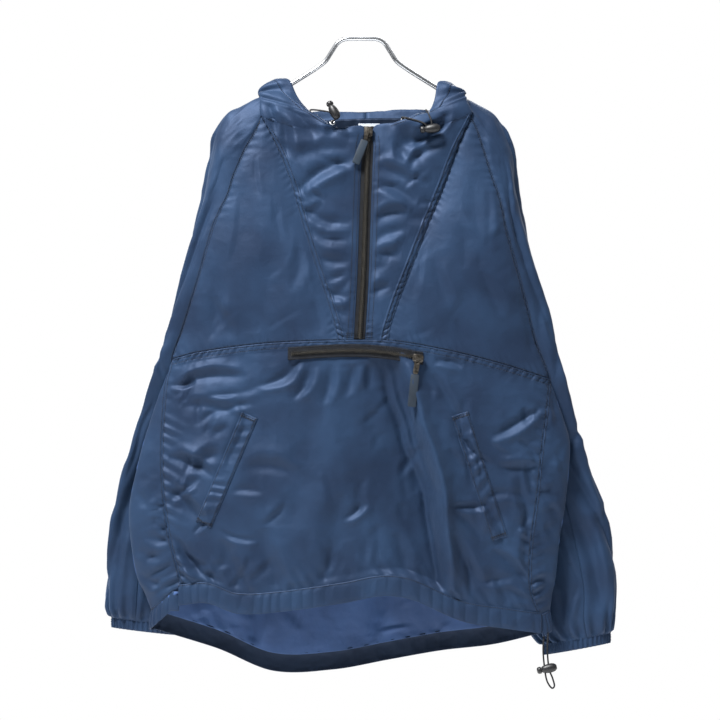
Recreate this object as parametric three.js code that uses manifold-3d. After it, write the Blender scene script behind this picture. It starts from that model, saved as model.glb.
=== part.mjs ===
// An anorak pullover on a wire hanger. Millimetres, +Z up, the front faces -Y and the wearer's left hand
// side lies at +X. The origin is the top of the hanger's hump, where a rail would hold it.
import * as THREE from "three";
import { mergeVertices } from "three/addons/utils/BufferGeometryUtils.js";
import Module from "manifold-3d";

const wasm = await Module();
wasm.setup();

// Cloth and gaps
const wall = 1.2; // one layer of nylon
const casingWall = 2.4; // the hem and cuffs are folded double
const seamGap = 0.3;
const weldDistance = 0.04; // cut edges closer than this become one point
const lapLift = 2.2; // the hood's cloth rolls over its own seam at this height

// Hanger
const rodRadius = 3;
const rodSides = 8;
const rodSteps = 34;
const rodTipX = 168;

// Zips
const tapeWidth = 14.4;
const teethWidth = 6;
const teethRise = 1.8;
const pocketZipHeight = 16.5;
const pocketTeethHeight = 5;

// Cords, locks and eyelets
const cordRadius = 1.1;
const cordSides = 8;
const lockLength = 26;
const lockRadius = 6;
const eyeletRadius = 2.7;
const eyeletWire = 0.8;

// Welt pockets
const weltWidth = 22;
const weltRise = 1.6;

// Hem and cuffs
const casingHeight = 25;
const casingGap = 0.5;
const casingSideGap = 1.6; // where the hem turns up towards the side seams
const wrapDrop = 8; // the back's casing ends this much lower than the front's at their side seams
const cuffHeight = 12;
const cuffGap = 0.6;
const cuffGathers = 16;
const hemGathersFront = 22;
const hemGathersBack = 24;

// Colours
const nylon = new THREE.MeshStandardMaterial({ color: 0x33486b, roughness: 0.5, metalness: 0 });
const steel = new THREE.MeshStandardMaterial({ color: 0xc9ccd0, roughness: 0.25, metalness: 1 });
const bronze = new THREE.MeshStandardMaterial({ color: 0x6b655c, roughness: 0.4, metalness: 0.9 });
const blackTape = new THREE.MeshStandardMaterial({ color: 0x17181b, roughness: 0.8, metalness: 0 });
const blackPlastic = new THREE.MeshStandardMaterial({ color: 0x15161a, roughness: 0.45, metalness: 0 });
const slateRubber = new THREE.MeshStandardMaterial({ color: 0x44596f, roughness: 0.6, metalness: 0 });
const whiteTape = new THREE.MeshStandardMaterial({ color: 0xdfe3ea, roughness: 0.8, metalness: 0 });

// A smooth track through rows of a table: value as a function of key.
function track(rows, key, value) {
  const keys = rows.map((row, i) => (key === "row" ? i : row[key]));
  const values = rows.map((row) => row[value]);
  const slopes = keys.map((_, i) => {
    const a = Math.max(0, i - 1);
    const b = Math.min(keys.length - 1, i + 1);
    return (values[b] - values[a]) / (keys[b] - keys[a]);
  });
  return (k) => {
    const last = keys.length - 1;
    if (k <= keys[0]) return values[0];
    if (k >= keys[last]) return values[last];
    let i = 0;
    while (keys[i + 1] < k) i++;
    const h = keys[i + 1] - keys[i];
    const t = (k - keys[i]) / h;
    const rise = values[i + 1] - values[i];
    return (
      values[i] +
      t * (t * (3 - 2 * t) * rise + (1 - t) * h * ((1 - t) * slopes[i] - t * slopes[i + 1]))
    );
  };
}

// A table with named columns.
function table(columns, rows) {
  return rows.map((row) => Object.fromEntries(columns.map((name, i) => [name, row[i]])));
}

const mix = (a, b, t) => a + (b - a) * t;
const radians = (degrees) => (degrees * Math.PI) / 180;

// Sleeve sections from the neck to the cuff. out is the outer silhouette, seam the front edge that the
// section starts from, half and the depths its half sizes, turn the angle where the back edge lies.
const sleeveColumns = [
  "outX",
  "outY",
  "outZ",
  "seamX",
  "seamZ",
  "half",
  "rearDepth",
  "frontDepth",
  "lean",
  "turn",
];
const leftSleeveRows = table(sleeveColumns, [
  [128, 0, -78, 143, -106, 33, 21, 21, 0, 95],
  [142, 0, -85, 150, -122, 40, 23, 23, 0, 98],
  [158, 0, -93, 157, -143, 52, 24, 24, 0, 100],
  [175, -2, -104, 163, -163, 63, 25, 25, 0, 102],
  [188, -4, -127, 170, -186, 66, 26, 25, 0, 105],
  [197, -5, -155, 177, -206, 62, 27, 25, 0, 108],
  [201, -8, -190, 183, -229, 58, 27, 24, 0, 112],
  [207, -11, -225, 187, -252, 54, 27, 24, 0, 120],
  [218, -13, -268, 196, -285, 49, 26, 22, 0.03, 136],
  [230, -14, -315, 205, -318, 46, 25, 20, 0.06, 165],
  [241, -15, -356, 215, -355, 55, 24, 17, 0.12, 236],
  [252, -16, -397, 226, -398, 64, 23, 13, 0.26, 281],
  [264, -17, -444, 244, -446, 76, 22, 10, 0.32, 318],
  [271, -12, -470, 238, -472, 79, 21, 10, 0.29, 0],
  [280, -6, -505, 238, -508, 80, 20, 12, 0.25, 0],
  [292, 0, -545, 246, -548, 79, 20, 13, 0.21, 0],
  [310, 5, -600, 264, -604, 74, 20, 14, 0.17, 0],
  [324, 8, -655, 279, -660, 69, 20, 15, 0.14, 0],
  [333, 10, -711, 290, -717, 62, 19, 16, 0.12, 0],
  [332, 12, -750, 290, -757, 58, 20, 17, 0.1, 0],
  [328, 13, -777, 295, -783, 50, 17, 15, 0.1, 0],
]);
const rightSleeveRows = table(sleeveColumns, [
  [-126, 0, -77.5, -131, -112, 36, 21, 21, 0, 95],
  [-140, 0, -84, -139, -129, 46, 23, 23, 0, 98],
  [-157, 0, -92, -150, -148, 58, 24, 24, 0, 100],
  [-174, -2, -101, -158, -166, 70, 25, 25, 0, 102],
  [-188, -4, -126, -166, -186, 68, 26, 25, 0, 105],
  [-195, -5, -160, -172, -207, 62, 27, 25, 0, 108],
  [-203, -9, -200, -181, -226, 56, 27, 24, 0, 112],
  [-212, -11, -234, -190, -246, 52, 27, 24, 0, 118],
  [-222, -14, -272, -199, -276, 48, 26, 22, 0.03, 136],
  [-232, -14, -311, -209, -311, 46, 25, 20, 0.06, 165],
  [-244, -15, -352, -221, -350, 55, 24, 17, 0.12, 236],
  [-253, -16, -386, -232, -384, 64, 23, 13, 0.26, 281],
  [-262, -17, -418, -244, -420, 77, 22, 10, 0.32, 319],
  [-272, -12, -445, -238, -447, 80, 21, 10, 0.29, 0],
  [-283, -6, -480, -240, -483, 81, 20, 12, 0.25, 0],
  [-296, 0, -525, -252, -529, 80, 20, 13, 0.21, 0],
  [-316, 5, -592, -272, -596, 75, 20, 14, 0.17, 0],
  [-328, 8, -655, -284, -659, 69, 20, 15, 0.14, 0],
  [-332, 10, -710, -290, -715, 62, 19, 16, 0.12, 0],
  [-333, 12, -740, -292, -745, 58, 20, 17, 0.1, 0],
  [-328, 13, -757, -294, -761, 50, 17, 15, 0.1, 0],
]);
const underarmRow = 12;
const cuffRow = 20;

// The side seams and edges of the body below the armholes.
const bodySide = table(
  ["z", "minX", "maxX", "minSeamX", "maxSeamX"],
  [
    [-390, -244, 244, -244, 244],
    [-420, -244, 244, -244, 244],
    [-446, -254, 244, -251, 244],
    [-473, -264, 254, -254, 242],
    [-525, -281, 270, -257, 235],
    [-564, -291, 269, -257, 231],
    [-611, -300, 264, -253, 226],
    [-655, -298, 257, -246, 220],
    [-702, -290, 252, -234, 218],
    [-728, -278, 247, -232, 222],
    [-771, -263, 242, -236, 240],
  ],
);
const side = {
  minX: track(bodySide.toReversed(), "z", "minX"),
  maxX: track(bodySide.toReversed(), "z", "maxX"),
  minSeamX: track(bodySide.toReversed(), "z", "minSeamX"),
  maxSeamX: track(bodySide.toReversed(), "z", "maxSeamX"),
};

// Heights of the yoke seam, the front hem and the longer back hem, across the body.
const yoke = table(
  ["x", "z"],
  [
    [-244, -420],
    [-209, -411],
    [-125, -400],
    [-34, -396],
    [32, -396],
    [103, -407],
    [181, -426],
    [244, -446],
  ],
);
const frontHem = table(
  ["x", "z"],
  [
    [-238, -737],
    [-200, -734],
    [-160, -747],
    [-107, -745],
    [-14, -733],
    [40, -724],
    [80, -729],
    [143, -757],
    [198, -767],
    [242, -774],
  ],
);
const backHem = table(
  ["x", "z"],
  [
    [-263, -771],
    [-190, -798],
    [-119, -828],
    [-38, -827],
    [34, -814],
    [103, -801],
    [173, -791],
    [242, -772],
  ],
);
const yokeZ = track(yoke, "x", "z");
const frontHemZ = track(frontHem, "x", "z");
const backHemZ = track(backHem, "x", "z");

// How far the front and back stand from the hanger's plane, down the body's middle.
const edgeY = -18;
const depths = table(
  ["z", "front", "back"],
  [
    [-830, -50, 24],
    [-735, -54, 26],
    [-600, -58, 28],
    [-480, -57, 28],
    [-395, -53, 28],
  ],
);
const frontY = track(depths, "z", "front");
const backY = track(depths, "z", "back");

// The main folds of the front below the yoke, as troughs (depth above 0) and ridges.
const frontFolds = table(
  ["fromX", "fromZ", "toX", "toZ", "width", "depth"],
  [
    [29, -424, 45, -525, 10, 7],
    [45, -525, 103, -733, 15, 13],
    [14, -430, 60, -640, 14, -5],
    [-30, -428, -62, -560, 12, 5],
    [-70, -424, -120, -520, 12, 4],
    [-205, -445, -140, -530, 10, 6],
    [-215, -500, -150, -600, 12, 5],
    [196, -470, 150, -545, 10, 6],
    [134, -580, 148, -690, 12, 5],
    [-20, -560, -40, -690, 16, -5],
    [-110, -590, -90, -700, 14, 5],
    [188, -600, 196, -720, 10, -4],
  ],
);
const backFolds = table(
  ["fromX", "fromZ", "toX", "toZ", "width", "depth"],
  [
    [-20, -380, -60, -640, 16, 7],
    [60, -360, 95, -600, 15, 7],
    [0, -500, 20, -780, 18, -6],
    [-150, -480, -110, -700, 14, 6],
    [160, -470, 130, -690, 14, 6],
    [-60, -150, -100, -300, 12, 4],
    [70, -150, 105, -290, 12, 4],
  ],
);
const sleeveFolds = table(
  ["around", "from", "to", "width", "depth"],
  [
    [0.35, 3, 10, 0.05, 4],
    [0.12, 4, 11, 0.05, 3],
    [0.3, 12, 18, 0.05, 5],
    [0.5, 13, 19, 0.05, 4],
    [0.72, 13, 20, 0.05, 4],
    [0.9, 15, 20, 0.05, 3],
    [0.08, 15, 20, 0.05, 4],
  ],
);

// How deep the folds of a table reach at a point of the front or back.
function foldDepth(folds, x, z) {
  let sum = 0;
  for (const fold of folds) {
    const dx = fold.toX - fold.fromX;
    const dz = fold.toZ - fold.fromZ;
    const length = Math.hypot(dx, dz);
    const along = ((x - fold.fromX) * dx + (z - fold.fromZ) * dz) / length ** 2;
    const across = ((x - fold.fromX) * dz - (z - fold.fromZ) * dx) / length;
    if (along < 0 || along > 1) continue;
    sum += fold.depth * Math.sin(Math.PI * along) ** 0.7 * Math.exp(-((across / fold.width) ** 2));
  }
  return sum;
}

// A closed wall over a grid of points: rows by columns, with its inner side a wall's thickness in. grow makes
// it larger all round, to cut a neighbour clear of it.
function clothSolid(points, { thickness = wall, inward = 1, wrap = false, trim = true, grow = 0 } = {}) {
  const rows = points.length;
  const columns = points[0].length;
  const outer = points.map((row) => row.map((p) => p.clone()));
  const pullEdges = (inset) => {
    const pull = (p, q) => p.add(q.clone().sub(p).setLength(inset));
    for (let j = 0; j < columns; j++) {
      pull(outer[0][j], points[1][j]);
      pull(outer[rows - 1][j], points[rows - 2][j]);
    }
    for (let i = 0; i < rows && !wrap; i++) {
      pull(outer[i][0], points[i][1]);
      pull(outer[i][columns - 1], points[i][columns - 2]);
    }
  };
  if (trim) pullEdges(seamGap / 2);
  const at = (i, j) => {
    const column = wrap ? (j + columns) % columns : THREE.MathUtils.clamp(j, 0, columns - 1);
    return outer[THREE.MathUtils.clamp(i, 0, rows - 1)][column];
  };
  const normals = outer.map((row, i) =>
    row.map((_, j) => {
      const down = at(i + 1, j).clone().sub(at(i - 1, j));
      const across = at(i, j + 1).clone().sub(at(i, j - 1));
      return down.cross(across).normalize();
    }),
  );
  if (grow) pullEdges(-grow);
  const layer = (depth) =>
    outer.flatMap((row, i) => row.map((p, j) => p.clone().addScaledVector(normals[i][j], inward * depth)));
  const positions = [...layer(-grow), ...layer(thickness + grow)].flatMap((p) => p.toArray());
  const index = [];
  const skin = rows * columns;
  const id = (i, j, skinIndex) => skinIndex * skin + i * columns + (j % columns);
  const quad = (a, b, c, d) => index.push(a, b, c, a, c, d);
  const lastColumn = wrap ? columns : columns - 1;
  for (let i = 0; i < rows - 1; i++) {
    for (let j = 0; j < lastColumn; j++) {
      quad(id(i, j, 0), id(i + 1, j, 0), id(i + 1, j + 1, 0), id(i, j + 1, 0));
      quad(id(i, j, 1), id(i, j + 1, 1), id(i + 1, j + 1, 1), id(i + 1, j, 1));
    }
  }
  for (let j = 0; j < lastColumn; j++) {
    quad(id(0, j, 0), id(0, j + 1, 0), id(0, j + 1, 1), id(0, j, 1));
    quad(id(rows - 1, j, 0), id(rows - 1, j, 1), id(rows - 1, j + 1, 1), id(rows - 1, j + 1, 0));
  }
  for (let i = 0; i < rows - 1 && !wrap; i++) {
    quad(id(i, 0, 0), id(i, 0, 1), id(i + 1, 0, 1), id(i + 1, 0, 0));
    const j = columns - 1;
    quad(id(i, j, 0), id(i + 1, j, 0), id(i + 1, j, 1), id(i, j, 1));
  }
  return facingOut(closedGeometry(positions, index));
}

function closedGeometry(positions, index) {
  const geometry = new THREE.BufferGeometry();
  geometry.setAttribute("position", new THREE.Float32BufferAttribute(positions, 3));
  geometry.setIndex(index);
  return geometry;
}

// Turns the triangles round where they enclose a volume below zero.
function facingOut(geometry) {
  const p = geometry.attributes.position;
  const index = geometry.index.array;
  const [a, b, c] = [new THREE.Vector3(), new THREE.Vector3(), new THREE.Vector3()];
  let volume = 0;
  for (let i = 0; i < index.length; i += 3) {
    a.fromBufferAttribute(p, index[i]);
    b.fromBufferAttribute(p, index[i + 1]);
    c.fromBufferAttribute(p, index[i + 2]);
    volume += a.dot(b.cross(c));
  }
  if (volume < 0) {
    for (let i = 0; i < index.length; i += 3) {
      [index[i + 1], index[i + 2]] = [index[i + 2], index[i + 1]];
    }
  }
  return geometry;
}

// A grid of points of a surface, rows from v = 0 to 1 and columns from u = 0 to 1.
function grid(surface, rows, columns) {
  const steps = Array.from({ length: rows + 1 }, (_, i) => i / rows);
  return gridAt(surface, steps, columns);
}

function gridAt(surface, steps, columns) {
  return steps.map((v) => Array.from({ length: columns + 1 }, (_, j) => surface(j / columns, v)));
}

// The same surface with straight lines between a number of columns, for a strip that is sewn to its edge.
function faceted(surface, columns) {
  return (u, v) => {
    const column = Math.min(Math.floor(u * columns + 1e-9), columns - 1);
    const share = u * columns - column;
    return surface(column / columns, v).lerp(surface((column + 1) / columns, v), share);
  };
}

// One point of a sleeve: row from the neck down, angle 0 on its outer edge and 90 at the back.
function sleevePoint(rows, row, angle) {
  const value = (name) => track(rows, "row", name)(row);
  const toSeam = new THREE.Vector2(value("seamX") - value("outX"), value("seamZ") - value("outZ"));
  toSeam.normalize();
  const along = value("half") * (1 - Math.cos(angle));
  const swell = Math.sin(angle) > 0 ? value("rearDepth") : value("frontDepth");
  const y = value("outY") + value("lean") * along + swell * Math.sin(angle);
  return new THREE.Vector3(value("outX") + toSeam.x * along, y, value("outZ") + toSeam.y * along);
}

function seamAngle(rows, row) {
  const value = (name) => track(rows, "row", name)(row);
  const reach = Math.hypot(value("seamX") - value("outX"), value("seamZ") - value("outZ"));
  return -Math.acos(1 - reach / value("half"));
}

// Below the armhole the back edge meets the front edge again.
function backAngle(rows, row) {
  const closed = 2 * Math.PI + seamAngle(rows, row);
  if (row >= underarmRow) return closed;
  return Math.min(radians(track(rows.slice(0, underarmRow + 1), "row", "turn")(row)), closed);
}

const frontSeam = (rows, row) => sleevePoint(rows, row, seamAngle(rows, row));
const backSeam = (rows, row) => sleevePoint(rows, row, backAngle(rows, row));

// A sleeve: u runs from the front edge round to the back edge, v from the neck to the cuff.
function sleeveSurface(rows) {
  return (u, v) => {
    const row = v * cuffRow;
    const start = seamAngle(rows, row);
    const end = backAngle(rows, row);
    const point = sleevePoint(rows, row, mix(start, end, u));
    let fold = 0;
    for (const f of sleeveFolds) {
      const along = (row - f.from) / (f.to - f.from);
      if (along <= 0 || along >= 1) continue;
      const across = (u - f.around - 0.03 * Math.sin(4 * along)) / f.width;
      fold += f.depth * Math.sin(Math.PI * along) * Math.exp(-(across ** 2));
    }
    const centre = sleevePoint(rows, row, Math.PI / 2);
    const inside = new THREE.Vector3(centre.x, point.y * 0.5 + centre.y * 0.2, centre.z);
    const edge = Math.min(1, 12 * u, 12 * (1 - u));
    return point.add(inside.sub(point).setLength(fold * edge));
  };
}

// The ring of the body below the yoke, as the front at a height and a place across it.
function frontPoint(x, z, folds = frontFolds) {
  const middle = (side.minX(z) + side.maxX(z)) / 2;
  const half = (side.maxX(z) - side.minX(z)) / 2;
  const s = THREE.MathUtils.clamp((x - middle) / half, -1, 1);
  const swell = (1 - s * s) ** 0.6;
  const y = edgeY + (frontY(z) - edgeY) * swell + foldDepth(folds, x, z) * Math.min(1, 3 * swell);
  return new THREE.Vector3(x, y, z);
}

const yokePoint = (x) => frontPoint(x, yokeZ(x));

// The front below the yoke: u from the wearer's right side seam to the left one, v down to the casing.
function frontBodySurface(u, v) {
  const topZ = yokeZ(mix(-244, 244, u));
  const hemZ = frontHemZ(mix(-236, 240, u)) + casingHeight;
  const z = mix(topZ, hemZ, v);
  return frontPoint(mix(side.minSeamX(z), side.maxSeamX(z), u), z);
}

const frontColumns = 22;
const frontHemLine = faceted(frontBodySurface, frontColumns);

function frontCasingSurface(u, v) {
  const point = frontHemLine(u, 1);
  point.z -= casingGap + v * casingHeight;
  point.y -= mix(0.5, 1.4, v) * Math.sin(2 * Math.PI * hemGathersFront * u) + 0.6;
  return point;
}

// The back: rows run from the nape to the tail, and below the armholes it reaches round to the front.
const tailRows = 10;
const napeRise = 7;
const backRowOf = (v) => v * (underarmRow + tailRows);

function backPoint(angle, row) {
  const s = -Math.cos(angle);
  const across = (s + 1) / 2;
  const down = THREE.MathUtils.clamp((row - underarmRow) / tailRows, 0, 1);
  const up = Math.min(row, underarmRow) / underarmRow;
  if (row <= underarmRow) {
    const left = backSeam(rightSleeveRows, row);
    const right = backSeam(leftSleeveRows, row);
    const point = left.clone().lerp(right, across);
    const centre = mix(19, backY(-395), Math.min(1, 1.4 * up));
    const power = mix(1, 2.2, up ** 2);
    const swell = Math.sin(angle) ** (2 * power);
    point.y += (centre - point.y) * swell;
    point.z += napeRise * (1 - up) ** 2 * Math.sin(angle) ** 2;
    point.y -= foldDepth(backFolds, point.x, point.z) * swell;
    return point;
  }
  const z = backHeight(across, down, Math.sin(angle) < 0);
  const x = mix(side.minX(z), side.maxX(z), across);
  if (Math.sin(angle) < 0) return frontPoint(x, z).setZ(z);
  const swell = Math.sin(angle) ** mix(4.4, 3, down);
  const y = edgeY + (backY(z) - edgeY) * swell - foldDepth(backFolds, x, z) * swell;
  return new THREE.Vector3(x, y, z);
}

// How high a place across the back lies. Where it wraps round to the front, its hem rises to the front's.
function backHeight(across, down, wrapped) {
  const edgeZ = mix(mix(-420, -746, down), mix(-446, -747, down), across);
  const x = mix(side.minX(edgeZ), side.maxX(edgeZ), across);
  let hem = backHemZ(x);
  if (wrapped) {
    const atMin = across < 0.5;
    const edge = atMin ? side.minX(edgeZ) : side.maxX(edgeZ);
    const seam = atMin ? side.minSeamX(edgeZ) : side.maxSeamX(edgeZ);
    const share = THREE.MathUtils.clamp((x - edge) / (seam - edge || 1), 0, 1);
    hem = mix(backHemZ(edge), frontHemZ(seam) - wrapDrop, share);
  }
  return mix(edgeZ, hem + casingHeight, down ** 1.5);
}

// The angle past the body's edge at which the side seam lies on the front.
function wrapAngle(row, edge) {
  const down = (row - underarmRow) / tailRows;
  if (down <= 0) return 0;
  let across = edge === "min" ? 0 : 1;
  for (let i = 0; i < 4; i++) {
    const z = backHeight(across, down, true);
    const seam = edge === "min" ? side.minSeamX(z) : side.maxSeamX(z);
    across = THREE.MathUtils.clamp((seam - side.minX(z)) / (side.maxX(z) - side.minX(z)), 0, 1);
  }
  return Math.acos(1 - 2 * (edge === "min" ? across : 1 - across));
}

function backSurface(u, v) {
  const row = backRowOf(v);
  const angle = mix(-wrapAngle(row, "min"), Math.PI + wrapAngle(row, "max"), u);
  return backPoint(angle, row);
}

const backColumns = 24;
const backHemLine = faceted(backSurface, backColumns);

function backCasingSurface(u, v) {
  const point = backHemLine(u, 1);
  const atSides = Math.abs(2 * u - 1) ** 6;
  point.z -= mix(casingGap, casingSideGap, atSides) + v * casingHeight * (1 - 0.08 * Math.sin(Math.PI * u));
  point.x -= 3 * v * Math.cos(Math.PI * u);
  point.y += mix(0.5, 1.4, v) * Math.sin(2 * Math.PI * hemGathersBack * u) * Math.sin(Math.PI * u);
  return point;
}

// The diagonal seams of the gore, from the yoke up to where the chest ends, and the zip's line.
const goreColumns = ["x", "y", "z"];
const rightGoreSeam = table(goreColumns, [
  [-128, -22, -103],
  [-111, -27, -138],
  [-97, -32, -173],
  [-87, -36, -204],
  [-78, -39, -237],
  [-59, -45, -299],
  [-46, -48, -338],
  [-33, -51, -381],
  [-30, -52.6, -395.8],
]);
const leftGoreSeam = table(goreColumns, [
  [143, -20, -99],
  [124, -26, -146],
  [109, -31, -190],
  [97, -35, -222],
  [86, -39, -248],
  [64, -45, -305],
  [50, -48, -340],
  [38, -51, -376],
  [34, -52.6, -396.2],
]);
const zipLine = table(
  ["z", "x", "y"],
  [
    [-396, -2, -53],
    [-376, -1, -52.5],
    [-304, 3, -48.5],
    [-240, 5, -44],
    [-187, 7, -39],
    [-150, 8.5, -34],
    [-118, 10, -30],
  ],
);
const zipX = track(zipLine, "z", "x");
const zipY = track(zipLine, "z", "y");

function seamTrack(rows) {
  return (t) =>
    new THREE.Vector3(
      track(rows, "row", "x")(t),
      track(rows, "row", "y")(t),
      track(rows, "row", "z")(t),
    );
}

// A chest: between the raglan seam and the gore seam, down to the yoke.
function chestSurface(sleeve, gore, swell) {
  const goreAt = seamTrack(gore);
  const lastGore = gore.length - 1;
  const raglan = (v) => frontSeam(sleeve, v * underarmRow);
  const inner = (v) => goreAt(v * lastGore);
  const top = (u) => raglan(0).lerp(inner(0), u);
  const bottom = (u) => yokePoint(mix(raglan(1).x, inner(1).x, u));
  return (u, v) => {
    const ruled = raglan(v).lerp(inner(v), u).add(top(u).lerp(bottom(u), v));
    const corners = top(0).lerp(top(1), u).lerp(bottom(0).lerp(bottom(1), u), v);
    const point = ruled.sub(corners);
    point.y -= swell * Math.sin(Math.PI * u) * Math.sin(Math.PI * v) ** 0.8;
    return point;
  };
}

// Gore and hood, cut in one. The rows go up the front, over the shoulder and round to the middle of the
// back. edge is the free edge: the zip, then the face of the hood, then the rim of the lying hood.
const hoodColumns = ["edgeX", "edgeY", "edgeZ", "roll", "over", "turn", "head", "pouch", "bottom"];
const rightHoodRows = table(hoodColumns, [
  [-9.5, -53, -395.6, 0, 0, 0, 0, 0, 0],
  [-8.6, -52.5, -378, 2, 0, 0, 0, 0, 0],
  [-6, -50.5, -335, 3, 0, 0, 0, 0, 0],
  [-4.2, -48, -296, 4, 0, 0, 0, 0, 0],
  [-2.5, -44, -240, 5, 0, 0, 0, 0, 0],
  [-1.2, -41, -207, 6, 0, 0, 0, 0, 0],
  [-0.3, -38, -176, 8, 2, 0, 0, 0, 0],
  [1, -34, -147, 10, 6, 0, 0, 0, 0],
  [2.5, -30, -119, 11, 10, 10, 0, 0, 0],
  [-27, -31, -122, 12, 12, 25, 0.12, 0, 0],
  [-50, -28, -110, 12, 13, 40, 0.24, 0, 0],
  [-68, -22, -97.5, 12, 13, 55, 0.34, 0, 0],
  [-82, -14, -80, 12, 13, 72, 0.42, 0, 0],
  [-92, -6, -58.5, 12, 12, 85, 0.48, 0, -70],
  [-99, 5, -57, 12, 12, 95, 0.55, 0, -75],
  [-113, 26, -66, 12, 10, 120, 0.75, 0.3, -120],
  [-112, 48, -88, 12, 6, 145, 1, 0.8, -200],
  [-88, 64, -108, 12, 0, 165, 1, 1, -268],
  [-50, 72, -122, 12, 0, 175, 1, 1, -308],
  [4.5, 75, -128, 12, 0, 180, 1, 1, -325],
]);
const leftHoodRows = table(hoodColumns, [
  [5.5, -53, -395.6, 0, 0, 0, 0, 0, 0],
  [6.4, -52.5, -378, 2, 0, 0, 0, 0, 0],
  [9, -50.5, -335, 3, 0, 0, 0, 0, 0],
  [10.8, -48, -296, 4, 0, 0, 0, 0, 0],
  [12.5, -44, -240, 5, 0, 0, 0, 0, 0],
  [13.8, -41, -207, 6, 0, 0, 0, 0, 0],
  [14.7, -38, -176, 8, 2, 0, 0, 0, 0],
  [16, -34, -147, 10, 6, 0, 0, 0, 0],
  [17.5, -30, -119, 12, 10, 10, 0, 0, 0],
  [52, -31, -114, 13, 12, 25, 0.12, 0, 0],
  [74, -28, -110, 14, 13, 40, 0.24, 0, 0],
  [88, -22, -99, 14, 13, 55, 0.34, 0, 0],
  [95, -14, -84, 13, 13, 72, 0.42, 0, 0],
  [99, -6, -62.5, 12, 12, 85, 0.48, 0, -70],
  [104, 5, -60, 12, 12, 95, 0.55, 0, -75],
  [117, 26, -68, 12, 10, 120, 0.75, 0.3, -120],
  [114, 48, -88, 12, 6, 145, 1, 0.8, -200],
  [88, 64, -108, 12, 0, 165, 1, 1, -268],
  [52, 72, -122, 12, 0, 175, 1, 1, -308],
  [4.5, 75, -128, 12, 0, 180, 1, 1, -325],
]);
const neckRow = 8;
const backNeckRow = 16;
const middleRow = 19;

// The seam that the gore and hood are sewn in by: gore seam, sleeve head, nape.
function hoodSeam(sleeve, gore, sign, row, head) {
  const last = gore.length - 1;
  if (row <= neckRow) return seamTrack(gore)(last - (row * last) / neckRow);
  if (row <= backNeckRow) {
    const angle = mix(seamAngle(sleeve, 0), backAngle(sleeve, 0), head);
    return seamTrack(gore)(0).lerp(sleevePoint(sleeve, 0, angle), Math.min(1, 5 * head));
  }
  const t = (row - backNeckRow) / (middleRow - backNeckRow);
  return backPoint(sign < 0 ? (t * Math.PI) / 2 : Math.PI - (t * Math.PI) / 2, 0);
}

// A smooth line through points, at w from 0 to 1.
function through(points, w) {
  const rows = points.map((p) => ({ x: p.x, y: p.y, z: p.z }));
  const t = w * (points.length - 1);
  return seamTrack(rows)(t);
}

// u runs from the seam to the free edge, v from the yoke to the middle of the back.
function hoodSurface(rows, sleeve, gore, sign) {
  return (u, v) => {
    const row = v * middleRow;
    const value = (name) => track(rows, "row", name)(row);
    const seam = hoodSeam(sleeve, gore, sign, row, value("head"));
    const edge = new THREE.Vector3(value("edgeX"), value("edgeY"), value("edgeZ"));
    const turn = radians(value("turn"));
    const out = new THREE.Vector3(sign * 0.8 * Math.sin(turn), -Math.cos(turn), 0.6 * Math.sin(turn));
    const lap = THREE.MathUtils.clamp((row - 5) / 2, 0, 1);
    seam.addScaledVector(out, lapLift * lap * (1 - value("pouch")));
    const beyond = seam.clone().sub(edge).setLength(value("over"));
    const first = seam.clone().add(beyond).addScaledVector(out, value("roll") * 0.7);
    const second = seam.clone().lerp(edge, 0.55).addScaledVector(out, value("roll") * 1.3);
    const over = new THREE.CubicBezierCurve3(seam, first, second, edge).getPoint(u);
    if (value("pouch") <= 0) return over;
    const bottom = value("bottom");
    const x = (share) => mix(seam.x, edge.x, share);
    const hanging = through(
      [
        seam,
        new THREE.Vector3(x(0), seam.y + 8, seam.z + 8),
        new THREE.Vector3(x(0.05), seam.y + 16, mix(seam.z, bottom, 0.25)),
        new THREE.Vector3(x(0.2), seam.y + 22, mix(seam.z, bottom, 0.75)),
        new THREE.Vector3(x(0.5), seam.y + 34, bottom),
        new THREE.Vector3(x(0.8), edge.y - 2, mix(edge.z, bottom, 0.75)),
        new THREE.Vector3(x(0.95), edge.y, mix(edge.z, bottom, 0.3)),
        edge,
      ],
      u,
    );
    return over.lerp(hanging, THREE.MathUtils.smoothstep(value("pouch"), 0, 1));
  };
}

// A cuff: an elastic band in small gathers, round the end of a sleeve.
function cuffPoints(rows) {
  const columns = cuffGathers * 3;
  const half = 44;
  const top = sleevePoint(rows, cuffRow, 0);
  const seam = frontSeam(rows, cuffRow);
  const along = new THREE.Vector3(seam.x - top.x, 0, seam.z - top.z).normalize();
  const drop = new THREE.Vector3(0, 0, -1);
  return [0, 1].map((v) =>
    Array.from({ length: columns }, (_, j) => {
      const angle = (2 * Math.PI * j) / columns;
      const gather = 0.7 * Math.sin(cuffGathers * angle);
      const reach = half + gather - 1.5 * Math.sin(Math.PI * v);
      return top
        .clone()
        .addScaledVector(along, half + 3 - reach * Math.cos(angle))
        .addScaledVector(drop, cuffGap + v * cuffHeight)
        .setY(top.y + 5 + (13 + gather) * Math.sin(angle));
    }),
  );
}

// The wire hanger: its hump stands free, and its arms run just under the sleeve heads.
function hangerGeometry(radius) {
  const arm = table(
    ["x", "z"],
    [
      [20, -3.6],
      [30, -8.5],
      [38, -20],
      [46, -32],
      [56, -40],
      [68, -48],
      [92, -63],
      [110, -73.9],
      [126, -81.7],
      [141, -89.1],
      [157, -97],
      [rodTipX, -103.3],
    ],
  );
  const half = arm.map((p) => new THREE.Vector3(p.x, 0, p.z));
  const mirrored = half.map((p) => new THREE.Vector3(-p.x, 0, p.z)).reverse();
  const path = new THREE.CatmullRomCurve3([...mirrored, new THREE.Vector3(0, 0, -rodRadius), ...half]);
  return swept(path, radius, rodSides, rodSteps);
}

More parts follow.
